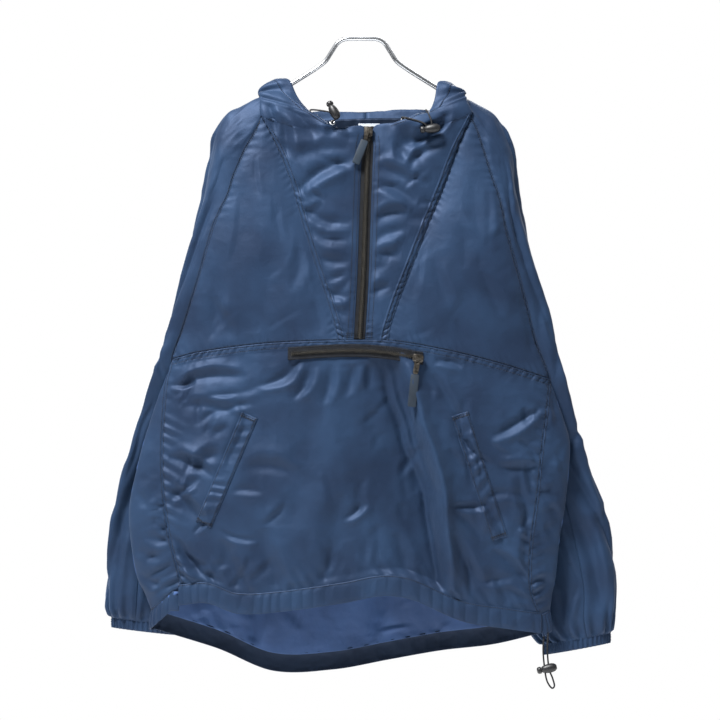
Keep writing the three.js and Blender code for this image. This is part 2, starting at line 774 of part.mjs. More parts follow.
// A round section along a path, with flat ends.
function swept(path, radius, sides, steps) {
  const ring = Array.from({ length: sides }, (_, i) => {
    const angle = (2 * Math.PI * i) / sides;
    return new THREE.Vector2(radius * Math.cos(angle), radius * Math.sin(angle));
  });
  return new THREE.ExtrudeGeometry(new THREE.Shape(ring), { extrudePath: path, steps });
}

// A flat bar with round ends from one point to another, its face to the front.
function barGeometry(from, to, width, thickness, corner) {
  const length = from.distanceTo(to);
  const outline = new THREE.Shape();
  const half = width / 2;
  outline.moveTo(-half, corner);
  outline.absarc(-half + corner, corner, corner, Math.PI, 1.5 * Math.PI, false);
  outline.absarc(half - corner, corner, corner, 1.5 * Math.PI, 2 * Math.PI, false);
  outline.absarc(half - corner, length - corner, corner, 0, 0.5 * Math.PI, false);
  outline.absarc(-half + corner, length - corner, corner, 0.5 * Math.PI, Math.PI, false);
  const bar = new THREE.ExtrudeGeometry(outline, { depth: thickness, bevelEnabled: false, curveSegments: 2 });
  const alongBar = to.clone().sub(from).normalize();
  const face = new THREE.Vector3(0, -1, 0);
  face.addScaledVector(alongBar, -face.dot(alongBar)).normalize();
  const acrossBar = alongBar.clone().cross(face);
  bar.translate(0, 0, -thickness / 2);
  bar.applyMatrix4(new THREE.Matrix4().makeBasis(acrossBar, alongBar, face));
  bar.translate(from.x, from.y, from.z);
  return bar;
}

function box(x, y, z, at) {
  return new THREE.BoxGeometry(x, y, z).translate(at.x, at.y, at.z);
}

// A spindle-shaped cord lock about an axis, with its plunger at the far end.
function lockGeometry(from, to) {
  const profile = table(
    ["along", "radius"],
    [
      [0, 0],
      [0, 3.4],
      [3, 5.2],
      [9, lockRadius],
      [16, 5.4],
      [20, 3.6],
      [20.5, 4.6],
      [24.5, 4.2],
      [lockLength, 2.6],
      [lockLength, 0],
    ],
  );
  const points = profile.map((p) => new THREE.Vector2(p.radius, p.along));
  const lock = new THREE.LatheGeometry(points, 8);
  lock.applyQuaternion(
    new THREE.Quaternion().setFromUnitVectors(
      new THREE.Vector3(0, 1, 0),
      to.clone().sub(from).normalize(),
    ),
  );
  return lock.translate(from.x, from.y, from.z);
}

// The merged, position-only solid of a closed geometry.
function solidOf(geometry) {
  const bare = geometry.clone();
  bare.deleteAttribute("normal");
  bare.deleteAttribute("uv");
  const merged = mergeVertices(bare, 1e-4);
  return new wasm.Manifold(
    new wasm.Mesh({
      numProp: 3,
      vertProperties: merged.attributes.position.array,
      triVerts: new Uint32Array(merged.index.array),
    }),
  );
}

function cutFrom(geometry, cutter) {
  const left = solidOf(geometry).subtract(cutter).decompose();
  const mesh = left.sort((a, b) => b.volume() - a.volume())[0].getMesh();
  return welded(closedGeometry(Array.from(mesh.vertProperties), Array.from(mesh.triVerts)));
}

// Joins points that nearly coincide and drops the slivers between them.
function welded(geometry) {
  const position = geometry.attributes.position;
  const points = Array.from({ length: position.count }, (_, i) => {
    return new THREE.Vector3().fromBufferAttribute(position, i);
  });
  const first = points.map((p) => points.findIndex((q) => q.distanceTo(p) < weldDistance));
  const index = geometry.index.array;
  const kept = [];
  for (let i = 0; i < index.length; i += 3) {
    const [a, b, c] = [first[index[i]], first[index[i + 1]], first[index[i + 2]]];
    if (a !== b && b !== c && c !== a) kept.push(a, b, c);
  }
  return closedGeometry(points.flatMap((p) => p.toArray()), kept);
}

const root = new THREE.Group();

function add(name, geometry, material) {
  const mesh = new THREE.Mesh(geometry, material);
  mesh.name = name;
  root.add(mesh);
  return mesh;
}

// A piece of cloth, cut clear of the pieces that it is sewn to. The largest body left is the piece.
const grown = new Map();

function addCloth(name, points, options, cutters = [], material = nylon) {
  let piece = clothSolid(points, options);
  for (const cutter of cutters) piece = cutFrom(piece, grown.get(cutter));
  add(name, piece, material);
  let cutter = solidOf(clothSolid(points, { ...options, grow: 0.4 }));
  const shifts = [[seamGap, 0], [-seamGap, 0]];
  if (options.draped) shifts.push([0, seamGap], [0, -seamGap]);
  for (const [y, z] of shifts) {
    cutter = cutter.add(solidOf(clothSolid(points, options).translate(0, y, z)));
  }
  grown.set(name, cutter);
}

add("hanger", hangerGeometry(rodRadius), steel);
grown.set("hanger", solidOf(hangerGeometry(rodRadius + seamGap)));

// Body, chests, sleeves and cuffs
const front = grid(frontBodySurface, 15, frontColumns);
addCloth("front_body", front, { inward: -1 });
const frontCasing = grid(frontCasingSurface, 1, 3 * hemGathersFront);
addCloth("front_hem_casing", frontCasing, { inward: -1, thickness: casingWall });
const back = grid(backSurface, 17, backColumns);
addCloth("back_body", back, {}, ["front_body", "front_hem_casing"]);
const backCasing = grid(backCasingSurface, 1, 3 * hemGathersBack);
addCloth("back_hem_casing", backCasing, { thickness: casingWall }, ["front_body", "front_hem_casing"]);

const sides = [
  { name: "left", rows: leftSleeveRows, gore: leftGoreSeam, hood: leftHoodRows, sign: 1 },
  { name: "right", rows: rightSleeveRows, gore: rightGoreSeam, hood: rightHoodRows, sign: -1 },
];
for (const { name, rows, gore, sign } of sides) {
  const chest = grid(chestSurface(rows, gore, 3), 10, 6);
  addCloth("chest_" + name, chest, { inward: sign }, ["front_body", "back_body"]);
  const sleeve = grid(sleeveSurface(rows), 21, 13);
  const cutters = ["front_body", "back_body", "chest_" + name];
  addCloth("sleeve_" + name, sleeve, { inward: sign }, cutters);
  const cuff = cuffPoints(rows);
  addCloth("cuff_" + name, cuff, { inward: sign, wrap: true, trim: false });
}
const hoods = {};
const hoodSteps = [];
for (let row = 0; row < middleRow; row += row >= neckRow && row < backNeckRow + 1 ? 0.5 : 1) {
  hoodSteps.push(row / middleRow);
}
hoodSteps.push(1);
for (const { name, rows, gore, hood, sign } of sides) {
  const cutters = ["front_body", "back_body", "chest_" + name, "sleeve_" + name, "hanger"];
  if (grown.has("hood_left")) cutters.push("hood_left");
  hoods[name] = gridAt(hoodSurface(hood, rows, gore, sign), hoodSteps, 7);
  addCloth("hood_" + name, hoods[name], { inward: -sign, draped: true }, cutters);
}

// A point and the outward direction on the flat faces of a piece.
function onPanel(points, u, place, out) {
  const columns = points[0].length - 1;
  const i = THREE.MathUtils.clamp(Math.floor(place), 0, points.length - 2);
  const j = THREE.MathUtils.clamp(Math.floor(u * columns), 0, columns - 1);
  const down = place - i;
  const across = u * columns - j;
  const [a, b, c, d] = [points[i][j], points[i + 1][j], points[i + 1][j + 1], points[i][j + 1]];
  const point = a.clone();
  if (down > across) point.addScaledVector(b.clone().sub(a), down).addScaledVector(c.clone().sub(b), across);
  else point.addScaledVector(d.clone().sub(a), across).addScaledVector(c.clone().sub(d), down);
  const normal = c.clone().sub(a).cross(b.clone().sub(d)).normalize().multiplyScalar(out);
  return { point, normal };
}

// The same on the front below the yoke, from a place across it and a height.
function onFront(x, z) {
  const u = (x - side.minSeamX(z)) / (side.maxSeamX(z) - side.minSeamX(z));
  const topZ = yokeZ(mix(-244, 244, u));
  const bottomZ = frontHemZ(mix(-236, 240, u)) + casingHeight;
  return onPanel(front, u, ((z - topZ) / (bottomZ - topZ)) * (front.length - 1), 1).point;
}

// Welt pockets, leaning outwards to the hem
const welts = table(
  ["name", "topX", "topZ", "bottomX", "bottomZ"],
  [
    ["welt_right", -143, -492, -203, -633],
    ["welt_left", 127, -490, 179, -651],
  ],
);
for (const welt of welts) {
  const along = new THREE.Vector2(welt.bottomX - welt.topX, welt.bottomZ - welt.topZ).normalize();
  const strip = (u, v) => {
    const across = (u - 0.5) * weltWidth;
    const x = mix(welt.topX, welt.bottomX, v) - along.y * across;
    const z = mix(welt.topZ, welt.bottomZ, v) + along.x * across;
    const puff = weltRise * Math.sin(Math.PI * u) * (0.8 + 0.2 * Math.sin(9 * Math.PI * v));
    return onFront(x, z).add(new THREE.Vector3(0, -(seamGap + wall + puff), 0));
  };
  addCloth(welt.name, grid(strip, 9, 2), { inward: -1, trim: false }, ["front_body"]);
}

// The front zip fills the gap between the gore edges.
const zipBottom = -394.6;
const zipTop = -119;
const zipStrip = (width, forward) => (u, v) => {
  const z = mix(zipTop, zipBottom, v);
  return new THREE.Vector3(zipX(z) + (u - 0.5) * width, zipY(z) + 0.6 - forward, z);
};
const zipTape = grid(zipStrip(tapeWidth, 0), 10, 1);
const tapeOptions = { inward: -1, trim: false };
addCloth("front_zip_tape", zipTape, tapeOptions, ["hood_left", "hood_right"], blackTape);
const zipTeeth = grid(zipStrip(teethWidth, seamGap + teethRise), 10, 1);
const teethOptions = { inward: -1, trim: false, thickness: teethRise };
addCloth("front_zip_teeth", zipTeeth, teethOptions, [], blackPlastic);

// The pocket zip lies on the front just under the yoke seam.
const pocketLine = table(
  ["x", "z"],
  [
    [-94, -413],
    [-40, -409.5],
    [1, -409],
    [40, -412.5],
    [80, -419],
  ],
);
const pocketZ = track(pocketLine, "x", "z");
const pocketStrip = (height, forward, inset) => (u, v) => {
  const x = mix(-94 + inset, 80 - inset, u);
  const z = pocketZ(x) + (0.5 - v) * height;
  return onFront(x, z).add(new THREE.Vector3(0, -(seamGap + wall + forward), 0));
};
const pocketTape = grid(pocketStrip(pocketZipHeight, 0, 0), 1, 14);
addCloth("pocket_zip_tape", pocketTape, tapeOptions, ["front_body"], blackTape);
const pocketTeeth = grid(pocketStrip(pocketTeethHeight, seamGap + teethRise, 3), 1, 14);
addCloth("pocket_zip_teeth", pocketTeeth, teethOptions, ["pocket_zip_tape"], blackPlastic);

// Sliders, links and pull tabs
const point = (x, y, z) => new THREE.Vector3(x, y, z);
const pulls = [
  {
    name: "front",
    slider: [point(9.8, -34.7, -119.5), point(9.2, -35.9, -132.5), 11, 4.4, 2.5],
    link: [point(9, -38.7, -124), point(5.2, -39.5, -137), 5, 1.4, 2.2],
    tab: [point(5, -39.7, -137.6), point(-7, -44.6, -168), 10, 2, 2],
  },
  {
    name: "pocket",
    slider: [point(66.5, -58.9, -417.6), point(80, -58.4, -419.8), 10, 4.4, 2.5],
    link: [point(73, -62.3, -420), point(69.5, -62.7, -439), 7, 1.6, 2.6],
    tab: [point(69.4, -62.7, -439.6), point(65, -63.9, -481), 11, 2.2, 2],
  },
];
for (const { name, slider, link, tab } of pulls) {
  add(name + "_zip_slider", barGeometry(...slider), bronze);
  add(name + "_zip_link", barGeometry(...link), bronze);
  add(name + "_zip_tab", barGeometry(...tab), slateRubber);
}

// Eyelets of the hood's cord tunnel, two on each side, with the way that each one faces.
const eyelets = table(
  ["name", "hood", "x", "y", "z", "faceX", "faceY", "faceZ"],
  [
    ["eyelet_right_upper", "hood_right", -65.9, -27.4, -100.9, 0.34, -0.53, 0.78],
    ["eyelet_right_lower", "hood_right", -37, -37, -115, 0.2, -0.8, 0.56],
    ["eyelet_left_upper", "hood_left", 86, -27.8, -101.3, -0.47, -0.23, 0.85],
    ["eyelet_left_lower", "hood_left", 55, -33.5, -110.5, -0.15, -0.7, 0.7],
  ],
);
const eyeletAt = {};
for (const { name, hood, x, y, z, faceX, faceY, faceZ } of eyelets) {
  const facing = point(faceX, faceY, faceZ).normalize();
  eyeletAt[name] = { centre: point(x, y, z), facing };
  const ring = new THREE.TorusGeometry(eyeletRadius, eyeletWire, 5, 8);
  ring.applyQuaternion(new THREE.Quaternion().setFromUnitVectors(point(0, 0, 1), facing));
  add(name, cutFrom(ring.translate(x, y, z), grown.get(hood)), steel);
}

// A hood cord comes out of one eyelet, runs through its lock and goes back in at the other.
function hoodCordPath(from, middle, to) {
  const leave = ({ centre, facing }, height) => centre.clone().addScaledVector(facing, height);
  return new THREE.CatmullRomCurve3([leave(from, 0), leave(from, 4), ...middle, leave(to, 4), leave(to, 0)]);
}

const cords = [
  {
    name: "hood_cord_right",
    lock: [point(-30, -41, -110), point(-42, -35, -87)],
    path: hoodCordPath(
      eyeletAt.eyelet_right_upper,
      [point(-54, -38, -99), point(-43, -41, -101), point(-34, -39.5, -103), point(-28, -40, -107)],
      eyeletAt.eyelet_right_lower,
    ),
    steps: 14,
    cloth: "hood_right",
  },
  {
    name: "hood_cord_left",
    lock: [point(102, -43, -121.5), point(77, -44, -124.5)],
    path: hoodCordPath(
      eyeletAt.eyelet_left_upper,
      [point(89, -40, -108), point(91, -44, -117), point(88, -44, -123), point(79, -44, -115)],
      eyeletAt.eyelet_left_lower,
    ),
    steps: 15,
    cloth: "hood_left",
  },
  {
    name: "hem_cord",
    lock: [point(253, -26, -817.5), point(227.5, -27, -823)],
    path: new THREE.CatmullRomCurve3([
      point(237, -24, -773.4),
      point(235.5, -25, -796),
      point(237.5, -26.5, -820.5),
      point(240.5, -27, -836),
      point(246.5, -27, -845),
      point(250, -27, -842),
      point(247.5, -27, -832),
      point(243, -26.5, -819.5),
      point(241, -25, -796),
      point(242, -24, -773.4),
    ]),
    steps: 22,
    cloth: "back_hem_casing",
  },
];
for (const { name, lock, path, steps, cloth } of cords) {
  add(name, cutFrom(swept(path, cordRadius, cordSides, steps), grown.get(cloth)), blackPlastic);
  const hole = solidOf(swept(path, cordRadius + seamGap + 0.1, cordSides, steps));
  add(name + "_lock", cutFrom(lockGeometry(...lock), hole), blackPlastic);
}

// The bare neck label hangs inside the nape.
const labelSize = point(28, 0.8, 20);
add("neck_label", box(labelSize.x, labelSize.y, labelSize.z, point(10.5, 17.4, -122.5)), whiteTape);

export default root;
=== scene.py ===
# An anorak pullover on a wire hanger. The scene is in metres; tables and surfaces are in millimetres.
# +Z is up, the front faces -Y, the wearer's left hand side lies at +X.
import math

import bmesh
import bpy
import numpy as np
from mathutils import Matrix, Vector


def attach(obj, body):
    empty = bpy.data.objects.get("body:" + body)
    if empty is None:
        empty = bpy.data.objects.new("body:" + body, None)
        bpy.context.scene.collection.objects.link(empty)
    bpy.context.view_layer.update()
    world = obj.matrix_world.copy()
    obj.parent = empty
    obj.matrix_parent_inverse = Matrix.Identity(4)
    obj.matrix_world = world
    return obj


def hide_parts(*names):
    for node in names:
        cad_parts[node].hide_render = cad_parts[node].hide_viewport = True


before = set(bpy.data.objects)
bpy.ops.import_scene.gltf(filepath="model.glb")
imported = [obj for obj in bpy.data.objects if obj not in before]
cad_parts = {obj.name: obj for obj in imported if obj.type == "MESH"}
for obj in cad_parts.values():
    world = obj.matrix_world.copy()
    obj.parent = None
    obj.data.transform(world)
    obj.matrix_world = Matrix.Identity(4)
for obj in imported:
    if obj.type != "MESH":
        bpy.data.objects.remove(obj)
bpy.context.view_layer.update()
mm = 0.001
print("stage: frame loaded")

# Camera, as far off as the photograph's, looking straight at the front
camera = {"lens": 173, "x": -1.3, "y": -4500, "z": -421}
cameraData = bpy.data.cameras.new("camera")
cameraData.lens = camera["lens"]
cameraData.clip_end = 50
cameraObject = bpy.data.objects.new("camera", cameraData)
cameraObject.location = (camera["x"] * mm, camera["y"] * mm, camera["z"] * mm)
cameraObject.rotation_euler = (math.radians(90), 0, 0)
bpy.context.scene.collection.objects.link(cameraObject)
bpy.context.scene.camera = cameraObject
bpy.context.scene.view_settings.view_transform = "Standard"


# Tables and smooth tracks
def track(keys, values):
    keys, values = np.asarray(keys, float), np.asarray(values, float)
    if keys[0] > keys[-1]:
        keys, values = keys[::-1], values[::-1]
    last = len(keys) - 1
    low, high = np.maximum(np.arange(last + 1) - 1, 0), np.minimum(np.arange(last + 1) + 1, last)
    slopes = (values[high] - values[low]) / (keys[high] - keys[low])

    def at(k):
        k = np.clip(np.asarray(k, float), keys[0], keys[-1])
        i = np.clip(np.searchsorted(keys, k, side="right") - 1, 0, last - 1)
        h = keys[i + 1] - keys[i]
        t = (k - keys[i]) / h
        rise = values[i + 1] - values[i]
        bend = (1 - t) * h * ((1 - t) * slopes[i] - t * slopes[i + 1])
        return values[i] + t * (t * (3 - 2 * t) * rise + bend)

    return at


def table(text):  # rows of numbers, one row on each line
    return [[float(value) for value in line.split()] for line in text.strip().splitlines()]


def tracks(columns, rows):  # one track for each column, by its row's number, or by z where that comes first
    columns = columns.split()
    data = np.array(rows, float).T
    keys = data[0] if columns[0] == "z" else np.arange(len(rows))
    return {name: track(keys, values) for name, values in zip(columns, data)}


def mix(a, b, t):
    return a + (b - a) * t


def smooth(t):
    t = np.clip(t, 0, 1)
    return t * t * (3 - 2 * t)


def stack(x, y, z):
    return np.stack(np.broadcast_arrays(x, y, z), axis=-1).astype(float)


def noise(x, y, seed=0):  # smooth noise from -1 to 1, a cell wide in x and y
    def corner(i, j):
        h = np.sin(i * 127.1 + j * 311.7 + seed * 74.7) * 43758.5453
        return h - np.floor(h)

    i, j = np.floor(x), np.floor(y)
    s, t = smooth(x - i), smooth(y - j)
    low = mix(corner(i, j), corner(i + 1, j), s)
    high = mix(corner(i, j + 1), corner(i + 1, j + 1), s)
    return 2 * mix(low, high, t) - 1


def crumple(x, y, scale, seed=0):  # soft creases of pressed nylon: rounded cells with narrow valleys
    a = 1 - 2 * np.abs(noise(x / scale, y / scale, seed))
    b = 1 - 2 * np.abs(noise(x / scale * 2.1 + 7, y / scale * 1.7 + 3, seed + 1))
    return 0.7 * a + 0.3 * b


# Folds of a panel: a trough from one point to another, its lip the ridge beside it (above 0 on the right of
# a fold that runs down).
foldColumns = "fromX fromZ toX toZ bow width depth lip skew"


def folds(rows):
    rows = table(rows) if isinstance(rows, str) else rows
    return [dict(zip(foldColumns.split(), (*row, 1))) for row in rows]


def foldHeight(creases, x, z):
    wx = x + 5 * noise(x / 42, z / 42, 3)
    wz = z + 5 * noise(x / 42, z / 42, 9)
    height = np.zeros_like(x)
    for f in creases:
        dx, dz = f["toX"] - f["fromX"], f["toZ"] - f["fromZ"]
        length = math.hypot(dx, dz)
        along = np.clip(((wx - f["fromX"]) * dx + (wz - f["fromZ"]) * dz) / length**2, 0, 1)
        offset = ((wx - f["fromX"]) * dz - (wz - f["fromZ"]) * dx) / length
        across = offset + 4 * f["bow"] * along * (1 - along)
        taper = np.sin(np.pi * along) ** 0.7
        width = f["width"] * (0.75 + 0.25 * np.sin(np.pi * along))
        beside = np.abs(across + math.copysign(1.7, f["lip"]) * width) / (1.1 * width)
        ridge = abs(f["lip"]) * np.exp(-(beside**1.4))
        reach = np.where(across > 0, width * f["skew"], width)  # a wide slope on the fold's left where skewed
        height += f["depth"] * taper * (ridge - np.exp(-(np.abs(across / reach) ** 1.7)))
    return height


def scatter(count, box, seed, angle, spread, depth, longest=60):
    # short creases between the main folds, at an angle from level; box = low and high x, low and high z
    draw = np.random.RandomState(seed)
    rows = []
    for _ in range(count):
        x, z = draw.uniform(box[0], box[1]), draw.uniform(box[2], box[3])
        length, turn = draw.uniform(22, longest), math.radians(angle + draw.uniform(-spread, spread))
        dx, dz = 0.5 * length * math.cos(turn), 0.5 * length * math.sin(turn)
        lip = draw.choice([-0.7, 0.7])
        bow, width = draw.uniform(-4, 4), draw.uniform(3.5, 6)
        rows.append([x - dx, z - dz, x + dx, z + dz, bow, width, depth * draw.uniform(0.5, 1), lip])
    return folds(rows)


def puckers(along, away, pitch, height, reach, seed, slant=0.0):  # gathers beside a seam
    phase = 2 * np.pi * (along + slant * away) / pitch + 2.6 * wander(along / (3 * pitch), seed)
    size = 0.55 + 0.45 * wander(along / (1.7 * pitch), seed + 2, 5)
    return height * size * np.sin(phase) * smooth(away / 2.5) * np.exp(-((away / reach) ** 1.5))


def inside(d, top=None, bottom=None, left=None, right=None):  # 0 at a piece's edges, 1 this far from them
    share = 1
    for edge, reach in (("top", top), ("bottom", bottom), ("left", left), ("right", right)):
        if reach:
            share = share * smooth(getattr(d, edge) / reach)
    return share


def wander(x, seed, lane=0):  # smooth noise along one direction
    return noise(x, 0 * x + lane, seed)


def lap(away, along, width=9.0, height=0.8):
    # the seam allowance folded under and stitched down with two rows, drawn into short creases between them
    step = height * (1 - smooth((away - width) / 1.6))
    rows = np.exp(-(((away - 1.8) / 0.8) ** 2)) + np.exp(-(((away - width + 1.8) / 0.8) ** 2))
    turn = np.cos(np.pi * (along / 8.4 + 0.25 * wander(along / 20, 2)) + 0.25 * away) ** 2
    creases = turn**5 * np.exp(-(((away - 0.5 * width) / (0.45 * width)) ** 4))
    return step - 0.45 * rows - 1.3 * creases


# Sizes of the anorak
cloth = {"layer": 0.5, "doubled": 0.8, "seam": 0.3, "wall": 1.2, "casingHeight": 25}
sleeveColumns = "outX outY outZ seamX seamZ half rearDepth frontDepth lean turn"
sleeveTables = {
    "left": table("""
128 0 -78 143 -106 33 21 21 0 95
142 0 -85 150 -122 40 23 23 0 98
158 0 -93 157 -143 52 24 24 0 100
175 -2 -104 163 -163 63 25 25 0 102
188 -4 -127 170 -186 66 26 25 0 105
197 -5 -155 177 -206 62 27 25 0 108
201 -8 -190 183 -229 58 27 24 0 112
207 -11 -225 187 -252 54 27 24 0 120
218 -13 -268 196 -285 49 26 22 0.03 136
230 -14 -315 205 -318 46 25 20 0.06 165
241 -15 -356 215 -355 55 24 17 0.12 236
252 -16 -397 226 -398 64 23 13 0.26 281
264 -17 -444 244 -446 76 22 10 0.32 318
271 -12 -470 238 -472 79 21 10 0.29 0
280 -6 -505 238 -508 80 20 12 0.25 0
292 0 -545 246 -548 79 20 13 0.21 0
310 5 -600 264 -604 74 20 14 0.17 0
324 8 -655 279 -660 69 20 15 0.14 0
333 10 -711 290 -717 62 19 16 0.12 0
332 12 -750 290 -757 58 20 17 0.1 0
328 13 -777 295 -783 50 17 15 0.1 0
"""),
    "right": table("""
-126 0 -77.5 -131 -112 36 21 21 0 95
-140 0 -84 -139 -129 46 23 23 0 98
-157 0 -92 -150 -148 58 24 24 0 100
-174 -2 -101 -158 -166 70 25 25 0 102
-188 -4 -126 -166 -186 68 26 25 0 105
-195 -5 -160 -172 -207 62 27 25 0 108
-203 -9 -200 -181 -226 56 27 24 0 112
-212 -11 -234 -190 -246 52 27 24 0 118
-222 -14 -272 -199 -276 48 26 22 0.03 136
-232 -14 -311 -209 -311 46 25 20 0.06 165
-244 -15 -352 -221 -350 55 24 17 0.12 236
-253 -16 -386 -232 -384 64 23 13 0.26 281
-262 -17 -418 -244 -420 77 22 10 0.32 319
-272 -12 -445 -238 -447 80 21 10 0.29 0
-283 -6 -480 -240 -483 81 20 12 0.25 0
-296 0 -525 -252 -529 80 20 13 0.21 0
-316 5 -592 -272 -596 75 20 14 0.17 0
-328 8 -655 -284 -659 69 20 15 0.14 0
-332 10 -710 -290 -715 62 19 16 0.12 0
-333 12 -740 -292 -745 58 20 17 0.1 0
-328 13 -757 -294 -761 50 17 15 0.1 0
"""),
}
sleeves = {name: tracks(sleeveColumns, rows) for name, rows in sleeveTables.items()}
for name, rows in sleeveTables.items():
    sleeves[name]["turn"] = track(np.arange(13), [row[9] for row in rows[:13]])
underarmRow, cuffRow = 12, 20

side = tracks("z minX maxX minSeamX maxSeamX", table("""
-390 -244 244 -244 244
-420 -244 244 -244 244
-446 -254 244 -251 244
-473 -264 254 -254 242
-525 -281 270 -257 235
-564 -291 269 -257 231
-611 -300 264 -253 226
-655 -298 257 -246 220
-702 -290 252 -234 218
-728 -278 247 -232 222
-771 -263 242 -236 240
"""))
yokeZ = track([-244, -209, -125, -34, 32, 103, 181, 244], [-420, -411, -400, -396, -396, -407, -426, -446])
frontHemZ = track(
    [-238, -200, -160, -107, -14, 40, 80, 143, 198, 242],
    [-737, -734, -747, -745, -733, -724, -729, -757, -767, -774],
)
backHemZ = track([-263, -190, -119, -38, 34, 103, 173, 242], [-771, -798, -828, -827, -814, -801, -791, -772])
frontY = track([-830, -735, -600, -480, -395], [-50, -54, -58, -57, -53])
backY = track([-830, -735, -600, -480, -395], [24, 26, 28, 28, 28])
edgeY = -18


# Surfaces of the pieces: u across, v down
def sleevePoint(rows, row, angle):
    dx, dz = rows["seamX"](row) - rows["outX"](row), rows["seamZ"](row) - rows["outZ"](row)
    reach = np.hypot(dx, dz)
    along = rows["half"](row) * (1 - np.cos(angle))
    swell = np.where(np.sin(angle) > 0, rows["rearDepth"](row), rows["frontDepth"](row))
    y = rows["outY"](row) + rows["lean"](row) * along + swell * np.sin(angle)
    return stack(rows["outX"](row) + dx / reach * along, y, rows["outZ"](row) + dz / reach * along)


def seamAngle(rows, row):
    reach = np.hypot(rows["seamX"](row) - rows["outX"](row), rows["seamZ"](row) - rows["outZ"](row))
    return -np.arccos(np.clip(1 - reach / rows["half"](row), -1, 1))


def backAngle(rows, row):
    closed = 2 * np.pi + seamAngle(rows, row)
    return np.where(np.asarray(row) >= underarmRow, closed, np.minimum(np.radians(rows["turn"](row)), closed))


cuff = {"half": 44, "outward": 47, "depth": 13, "back": 5}


def cuffRing(rows, angle, down):  # the line of the cuff round the sleeve's end, down mm below it
    end = np.full(1, float(cuffRow))
    top = sleevePoint(rows, end, np.zeros(1))[0]
    seam = sleevePoint(rows, end, seamAngle(rows, end))[0]
    along = np.array([seam[0] - top[0], 0, seam[2] - top[2]])
    p = top + (cuff["outward"] - cuff["half"] * np.cos(angle))[..., None] * along / np.linalg.norm(along)
    p[..., 1] = top[1] + cuff["back"] + cuff["depth"] * np.sin(angle)
    p[..., 2] -= down
    return p


def sleeveSurface(rows):
    def at(u, v):
        row = v * cuffRow
        angle = mix(seamAngle(rows, row), backAngle(rows, row), u)
        drawnIn = smooth((row - 19.1) / 0.9)[..., None]  # gathered into the cuff at its end
        p = mix(sleevePoint(rows, row, angle), cuffRing(rows, angle, 0), drawnIn)
        # the first row runs on under the hood's seam
        rise = p[:1] - sleevePoint(rows, 0.25 + 0 * row, angle)[:1]
        p[:1] += 2.6 * rise / np.linalg.norm(rise, axis=-1, keepdims=True)
        return p

    return at


def frontPoint(x, z):
    middle, half = (side["minX"](z) + side["maxX"](z)) / 2, (side["maxX"](z) - side["minX"](z)) / 2
    s = np.clip((x - middle) / half, -1, 1)
    return stack(x, edgeY + (frontY(z) - edgeY) * (1 - s * s) ** 0.6, z)


def frontBody(u, v):
    z = mix(yokeZ(mix(-244, 244, u)), frontHemZ(mix(-236, 240, u)) + cloth["casingHeight"], v)
    return frontPoint(mix(side["minSeamX"](z), side["maxSeamX"](z), u), z)


def frontCasing(u, v):  # its ends lap the side seams, its top edge the body
    p = frontBody(mix(-0.006, 1.006, u), np.ones_like(v))
    p[..., 2] += 1.4 - v * (cloth["casingHeight"] + 1.9)
    p[..., 1] -= 0.9 + 1.1 * np.abs(2 * u - 1) ** 12
    return p


tailRows = 10


def backPoint(angle, row):
    across = (1 - np.cos(angle)) / 2
    down = np.clip((row - underarmRow) / tailRows, 0, 1)
    up = np.minimum(row, underarmRow) / underarmRow
    high = np.minimum(row, underarmRow)
    left = sleevePoint(sleeves["right"], high, backAngle(sleeves["right"], high))
    right = sleevePoint(sleeves["left"], high, backAngle(sleeves["left"], high))
    upper = mix(left, right, across[..., None])
    centre = mix(19, backY(-395), np.minimum(1, 1.4 * up))
    lift = np.clip(np.sin(angle), 0, 1)
    upper[..., 1] += (centre - upper[..., 1]) * lift ** (2 * mix(1, 2.2, up**2))
    upper[..., 2] += 7 * (1 - up) ** 2 * lift**2
    z = backHeight(across, down, np.sin(angle) < 0)
    x = mix(side["minX"](z), side["maxX"](z), across)
    wrapped = frontPoint(x, z)
    y = np.where(np.sin(angle) < 0, wrapped[..., 1], edgeY + (backY(z) - edgeY) * lift ** mix(4.4, 3, down))
    return np.where((row <= underarmRow)[..., None], upper, stack(x, y, z))


def backHeight(across, down, wraps):  # where the back wraps round to the front, its hem rises to the front's
    edgeZ = mix(mix(-420, -746, down), mix(-446, -747, down), across)
    lowX, highX = side["minX"](edgeZ), side["maxX"](edgeZ)
    x = mix(lowX, highX, across)
    edge = np.where(across < 0.5, lowX, highX)
    seam = np.where(across < 0.5, side["minSeamX"](edgeZ), side["maxSeamX"](edgeZ))
    share = np.clip((x - edge) / np.where(seam == edge, 1, seam - edge), 0, 1)
    risen = mix(backHemZ(edge), frontHemZ(seam) - 8, share)
    return mix(edgeZ, np.where(wraps, risen, backHemZ(x)) + cloth["casingHeight"], down**1.5)


def wrapAngle(row, edge):  # the angle past the body's edge at which the side seam lies on the front
    down = np.clip((row - underarmRow) / tailRows, 0, 1)
    across = np.full_like(down, 0.0 if edge == "min" else 1.0)
    for _ in range(6):
        z = backHeight(across, down, True)
        seam = side["minSeamX" if edge == "min" else "maxSeamX"](z)
        across = np.clip((seam - side["minX"](z)) / (side["maxX"](z) - side["minX"](z)), 0, 1)
    inset = across if edge == "min" else 1 - across
    return np.where(down <= 0, 0, np.arccos(1 - 2 * inset))


def backBody(u, v):
    row = v * (underarmRow + tailRows)
    return backPoint(mix(-wrapAngle(row, "min"), np.pi + wrapAngle(row, "max"), u), row)


def backCasing(u, v):
    p = backBody(u, np.ones_like(v))
    p[..., 2] += 2.2 - v * (2.7 + cloth["casingHeight"] * (1 - 0.08 * np.sin(np.pi * u)))
    p[..., 0] -= 3 * v * np.cos(np.pi * u)
    p[..., 1] += 0.8 * np.sign(p[..., 1] - edgeY)
    return p


